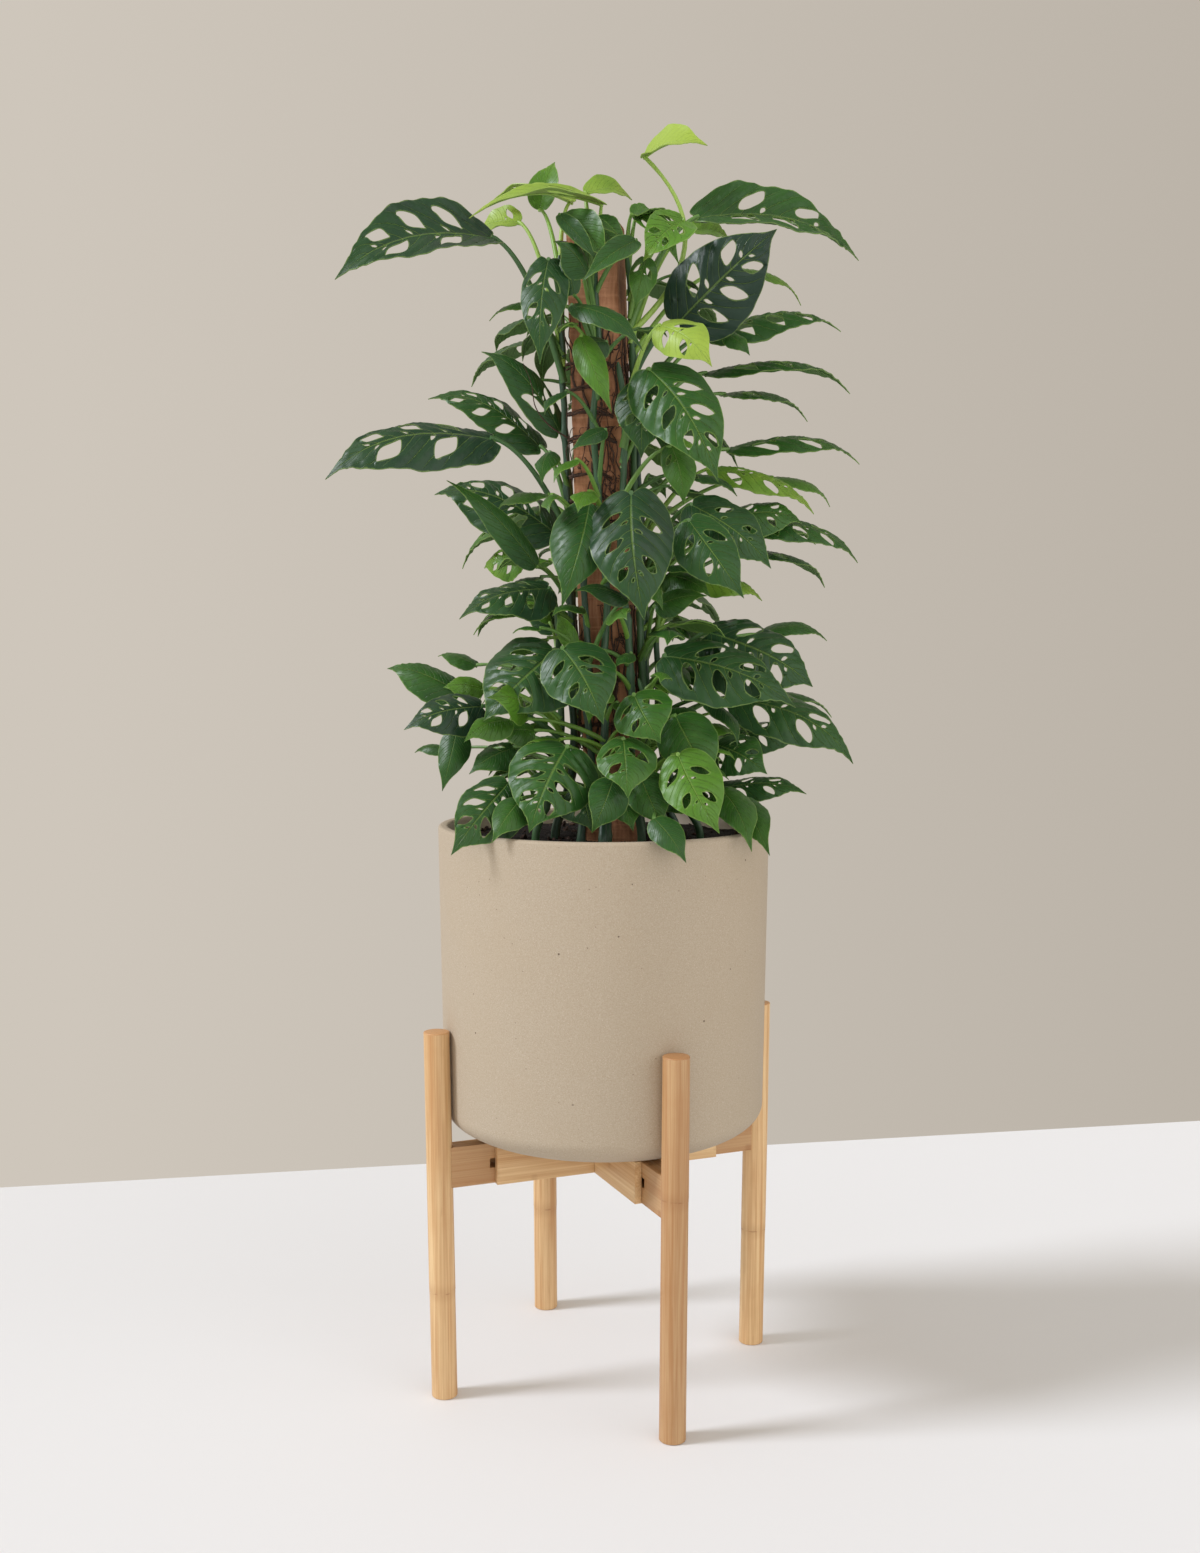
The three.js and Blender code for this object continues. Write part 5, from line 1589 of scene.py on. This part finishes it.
def green_parts(vine, leaves):
    """A vine's stem, its stalks and the midribs under its leaves, as round tubes."""
    green = MeshParts()
    green.add(*tube_mesh(*rounded_stem(vine), 12), 2, 0.1 + 0.09 * (vine.number % 3))
    share = np.linspace(0, 1, 18)
    thickening = 1.65 - 0.85 * share + 0.35 * np.exp(-((share - 0.97) / 0.05) ** 2)
    for leaf in leaves:
        thick = STALK_RADIUS * (0.82 + leaf.width / 170)
        tone = 0.28 + 0.62 * leaf.tone
        stalk, midrib = stalk_places([leaf], share)[0], midrib_line(leaf)
        green.add(*tube_mesh(stalk, thick * thickening, 8), 2, tone)
        radii = np.linspace(0.8 * thick, 0.25, len(midrib))
        green.add(*tube_mesh(midrib, radii, 6), 2, tone)
    return green


def build_vine(vine, leaves, finishes):
    """A vine as one piece: thick blades, joined to their stem, stalks and midribs."""
    blades = MeshParts()
    for leaf in leaves:
        places, triangles, rim, blade_map = fine_blade(leaf)
        blades.add(places, triangles, 0, leaf.tone, rim, blade_map)
    piece = new_piece(f"leafy_{vine.name}", blades.mesh(vine.name))
    add_materials(piece, finishes)
    depth = {"thickness": bpy.context.scene.vine_plant.thickness, "offset": -1}
    finish_with(piece, "SOLIDIFY", material_offset=1, use_even_offset=False, **depth)
    shoots = new_piece(f"shoots_{vine.name}", green_parts(vine, leaves).mesh("shoots"))
    add_materials(shoots, finishes)
    select_only(piece)
    shoots.select_set(True)
    bpy.ops.object.join()
    smooth(piece, 60)
    hand_over(piece, "root", "leaf", vine.name)


# Aerial roots: across is where one root climbs the post's front; others clasp its left corner

ROOT_GROUPS = {
    "aerial_roots_low": (8, (654, 676, 700, 726)),
    "aerial_roots_middle": (-4, (850, 872, 896)),
    "aerial_roots_high": (-10, (930, 954, 978, 1002)),
}
TANGLED_ROOTS, TANGLE_LEFT, TANGLE_WIDTH = 46, -34, 98
STRAND_SHARES = (1.0, 0.6, 0.45)
# A loose root beside the post, as seen (right, height)
LOOSE_ROOT = ((-30, 930), (-52, 944), (-66, 962), (-70, 984), (-78, 1004))
LOOSE_ROOT_DEPTH = -12


def round_post(way, out, height):
    """A place round the post: way runs from its front's middle, to the right when positive."""
    corner = POST_HALF + out
    if abs(way) <= corner:
        return post_place(way, -corner, height)
    return post_place(math.copysign(corner, way), abs(way) - 2 * corner, height)


def tangled_roots(clasps, draw):
    """Wavy dark roots that run up the post and across it between two heights."""
    low, high = clasps[0] - 26, clasps[-1] + 14
    lines = []
    for i in range(TANGLED_ROOTS):
        steep = i % 3 > 0
        way = TANGLE_LEFT + TANGLE_WIDTH * draw() ** 0.8
        height = low + (high - low) * draw()
        rise = (46 + 60 * draw()) if steep else 22 * (draw() - 0.5)
        run = 26 * (draw() - 0.5) if steep else 44 * (draw() - 0.5)
        out = 1.4 + 3.2 * draw()
        phase, waves = 6 * draw(), 2 + 3 * draw()
        lines.append([
            round_post(
                way + run * t + 2.4 * math.sin(waves * 3 * t + phase),
                out + 1.1 * math.sin(waves * 2 * t),
                min(height + rise * t + 2 * math.sin(waves * 4 * t), high + 30),
            )
            for t in np.linspace(0, 1, 9)
        ])
    return lines


def clasping_lines(across, clasps):
    """The CAD roots' own lines: one up the post's front, the others round its left corner."""
    off = POST_HALF + ROOT_RADIUS + 0.6
    heights = [clasps[0] - 8, *clasps[1:-1], clasps[-1] + 8]
    lines = [[post_place(across + (4 if i % 2 else -2), -off, z) for i, z in enumerate(heights)]]
    for i, z in enumerate(clasps):
        start, end = 20 - 3 * (i % 3), 9 - 6 * (i % 2)
        corners = (start, -off, z - 5), (0, -off, z + 2), (-off, -off, z - 2), (-off, end, z + 3)
        lines.append([post_place(*corner) for corner in corners])
    return lines


def build_roots(name, across, clasps, material):
    """Thin roots along the CAD roots' own lines, with finer strands beside them."""
    draw = number_stream(len(name) * 977)
    parts = MeshParts()
    if name == "aerial_roots_high":
        loose = [seen(*place, LOOSE_ROOT_DEPTH) for place in LOOSE_ROOT]
        curve = smooth_line(loose, False, 4)
        parts.add(*tube_mesh(curve, np.linspace(0.9, 0.3, len(curve)), 6), 0, 0)
    for line in clasping_lines(across, clasps):
        for strand, share in enumerate(STRAND_SHARES):
            moved = np.array(line)
            moved += [[0, 0, 9 * (draw() - 0.5) * (strand > 0)] for _ in line]
            curve = smooth_line(moved, False, 4)
            curve += [[0, 0, 1.6 * (draw() - 0.5)] for _ in curve]
            radii = ROOT_RADIUS * share * np.array([0.85 + 0.3 * draw() for _ in curve])
            radii[-2:] *= (0.7, 0.3)
            parts.add(*tube_mesh(curve, radii, 7), 0, 0)
    for line in tangled_roots(clasps, draw):
        curve = smooth_line(line, False, 4)
        radii = (0.45 + 0.95 * draw() ** 2) * np.linspace(1, 0.5, len(curve))
        parts.add(*tube_mesh(curve, radii, 5), 0, 0)
    roots = new_piece(f"clasping_{name}", parts.mesh(name))
    smooth(roots, 60)
    hand_over(roots, "root", "root", name, material)


# Stage

# Two places (right, back) on the floor's far edge, and how far the floor runs, in millimetres
FLOOR_EDGE, FLOOR_REACH, FLOOR_DROP = ((-810, 560), (923, 875)), 6000, 0.2
CAMERA_PLACE = (-3.5, -1648.5, 736.8)
CAMERA_DOWN = math.radians(4.66)
FOCAL_PIXELS = 1673.5
SENSOR_WIDTH, CLIP_END = 36, 50
# Where the backdrop starts and ends its darkening, from -1 at the left to 1 at the right
BACKDROP_LEFT, BACKDROP_RIGHT = -0.3, 0.35
# Each light's spread in degrees, its colour and the way it shines
KEY_LIGHT = 15, (0.9, 0.93, 1.0), (0.79, 0.17, -0.62)
FILL_LIGHT = 90, (0.98, 0.98, 1.0), (-0.7, 0.7, -0.1)


def build_floor():
    """A pale floor whose far edge runs a little askew behind the stand."""
    look = bpy.context.scene.vine_stage
    floor = primitive(bpy.ops.mesh.primitive_plane_add, "studio_floor", size=1)
    (left, left_back), (right, right_back) = FLOOR_EDGE
    slope = (right_back - left_back) / (right - left)
    edge = left_back - slope * left
    corners = [(x, -FLOOR_REACH) for x in (-FLOOR_REACH, FLOOR_REACH)]
    corners += [(x, edge + slope * x) for x in (-FLOOR_REACH, FLOOR_REACH)]
    for vertex, (x, y) in zip(floor.data.vertices, corners):
        vertex.co = (x * MM, y * MM, -FLOOR_DROP * MM)
    finish = Finish("pale floor")
    colour = finish.mix(finish.noise(60, 3) * 0.04, look.floor, srgb(222, 221, 220))
    floor.data.materials.append(finish.done(base_color=colour, roughness=0.75, specular=0.3))


def add_sun(name, strength, spread, colour, way):
    """Adds a light that shines one way, from a disc of a spread in degrees."""
    sun = new_piece(name, bpy.data.lights.new(name, "SUN"))
    sun.data.energy = strength
    sun.data.angle = math.radians(spread)
    sun.data.color = colour
    sun.rotation_mode = "QUATERNION"
    sun.rotation_quaternion = Vector(way).to_track_quat("-Z", "Y")


def build_light():
    """A backdrop that darkens to the right, a key light and a weak broad fill."""
    look = bpy.context.scene.vine_stage
    finish = Finish("backdrop", "worlds", "Background", "Generated")
    values = {"Value": finish.axes()[0], "From Min": BACKDROP_LEFT, "From Max": BACKDROP_RIGHT}
    shade = finish.node("ShaderNodeMapRange", {}, values)
    colour = finish.mix(shade, look.backdrop, look.backdrop_right)
    bpy.context.scene.world = finish.done(color=colour)
    add_sun("key_light", look.key, *KEY_LIGHT)
    add_sun("fill_light", look.fill, *FILL_LIGHT)


def build_camera():
    """The photo's view, from a camera fitted to the stand, the pot and the post."""
    data = bpy.data.cameras.new("front_camera")
    data.sensor_width = SENSOR_WIDTH
    data.lens = FOCAL_PIXELS / max(PHOTO_WIDTH, PHOTO_HEIGHT) * SENSOR_WIDTH
    data.clip_end = CLIP_END
    camera = new_piece("front_camera", data)
    camera.location = [value * MM for value in CAMERA_PLACE]
    camera.rotation_euler = (math.pi / 2 - CAMERA_DOWN, 0, 0)
    bpy.context.scene.camera = camera
    bpy.context.scene.view_settings.view_transform = "Standard"


# Operators


class VinePotOperator:
    bl_options = {"REGISTER", "UNDO"}


class VINEPOT_OT_legs(VinePotOperator, bpy.types.Operator):
    """Model the stand's four round bamboo legs"""

    bl_idname = "vinepot.legs"
    bl_label = "Bamboo Legs"

    def execute(self, context):
        for index, side in enumerate(SIDES):
            build_leg(side, index)
        return {"FINISHED"}


class VINEPOT_OT_boards(VinePotOperator, bpy.types.Operator):
    """Model the crossed beams and the sliding arms"""

    bl_idname = "vinepot.boards"
    bl_label = "Beams and Arms"

    def execute(self, context):
        for index, side in enumerate(SIDES):
            build_board(f"arm_{side}", f"sliding_arm_{side}", f"side_{side}", side_turn(index))
        for index, way in enumerate(("front_back", "right_left")):
            build_board(f"beam_{way}", f"cross_beam_{way}", "root", side_turn(index))
        return {"FINISHED"}


class VINEPOT_OT_bolts(VinePotOperator, bpy.types.Operator):
    """Model the bolts that clamp the arms"""

    bl_idname = "vinepot.bolts"
    bl_label = "Clamp Bolts"

    def execute(self, context):
        material = steel_finish()
        for index, side in enumerate(SIDES):
            build_bolt(side, index, material)
        return {"FINISHED"}


class VINEPOT_OT_pot(VinePotOperator, bpy.types.Operator):
    """Turn the clay pot"""

    bl_idname = "vinepot.pot"
    bl_label = "Clay Pot"

    def execute(self, context):
        build_pot()
        return {"FINISHED"}


class VINEPOT_OT_soil(VinePotOperator, bpy.types.Operator):
    """Fill the pot with soil and bark chips"""

    bl_idname = "vinepot.soil"
    bl_label = "Soil"

    def execute(self, context):
        build_soil()
        return {"FINISHED"}


class VINEPOT_OT_post(VinePotOperator, bpy.types.Operator):
    """Model the rough-sawn timber post"""

    bl_idname = "vinepot.post"
    bl_label = "Timber Post"

    def execute(self, context):
        build_post()
        return {"FINISHED"}


class VINEPOT_OT_roots(VinePotOperator, bpy.types.Operator):
    """Model the aerial roots that clasp the post"""

    bl_idname = "vinepot.roots"
    bl_label = "Aerial Roots"

    def execute(self, context):
        material = root_finish()
        for name, (across, clasps) in ROOT_GROUPS.items():
            build_roots(name, across, clasps, material)
        return {"FINISHED"}


class VINEPOT_OT_vines(VinePotOperator, bpy.types.Operator):
    """Grow the vines with their stalks and perforated leaves"""

    bl_idname = "vinepot.vines"
    bl_label = "Vines"

    def execute(self, context):
        faces = blade_finish("leaf face", False), blade_finish("leaf back", True)
        finishes = (*faces, stem_finish())
        vines, leaves = grow_plan()
        for vine in vines:
            build_vine(vine, [leaf for leaf in leaves if leaf.vine is vine], finishes)
        return {"FINISHED"}


class VINEPOT_OT_stage(VinePotOperator, bpy.types.Operator):
    """Set up the floor, the light and the camera"""

    bl_idname = "vinepot.stage"
    bl_label = "Floor, Light and Camera"

    def execute(self, context):
        build_floor()
        build_light()
        build_camera()
        return {"FINISHED"}


OPERATORS = (
    VINEPOT_OT_stage,
    VINEPOT_OT_legs,
    VINEPOT_OT_boards,
    VINEPOT_OT_bolts,
    VINEPOT_OT_pot,
    VINEPOT_OT_soil,
    VINEPOT_OT_post,
    VINEPOT_OT_roots,
    VINEPOT_OT_vines,
)
SETTINGS = {
    "vine_stand": StandSettings,
    "vine_pot": PotSettings,
    "vine_plant": PlantSettings,
    "vine_stage": StageSettings,
}


class VINEPOT_PT_panel(bpy.types.Panel):
    """Lists the plant's settings and the steps that build it"""

    bl_idname = "VINEPOT_PT_panel"
    bl_label = "Potted Swiss Cheese Vine"
    bl_space_type = "VIEW_3D"
    bl_region_type = "UI"
    bl_category = "Cheese Vine"

    def draw(self, context):
        for operator in OPERATORS:
            self.layout.operator(operator.bl_idname)
        for name, group in SETTINGS.items():
            box = self.layout.box()
            for setting in group.__annotations__:
                box.prop(getattr(context.scene, name), setting)


def register():
    for group in SETTINGS.values():
        bpy.utils.register_class(group)
    for name, group in SETTINGS.items():
        setattr(bpy.types.Scene, name, PointerProperty(type=group))
    for item in (*OPERATORS, VINEPOT_PT_panel):
        bpy.utils.register_class(item)


def unregister():
    for item in (VINEPOT_PT_panel, *reversed(OPERATORS)):
        bpy.utils.unregister_class(item)
    for name, group in SETTINGS.items():
        delattr(bpy.types.Scene, name)
        bpy.utils.unregister_class(group)


def main():
    register()
    for operator in OPERATORS:
        group, name = operator.bl_idname.split(".")
        getattr(getattr(bpy.ops, group), name)()


if __name__ == "__main__":
    main()
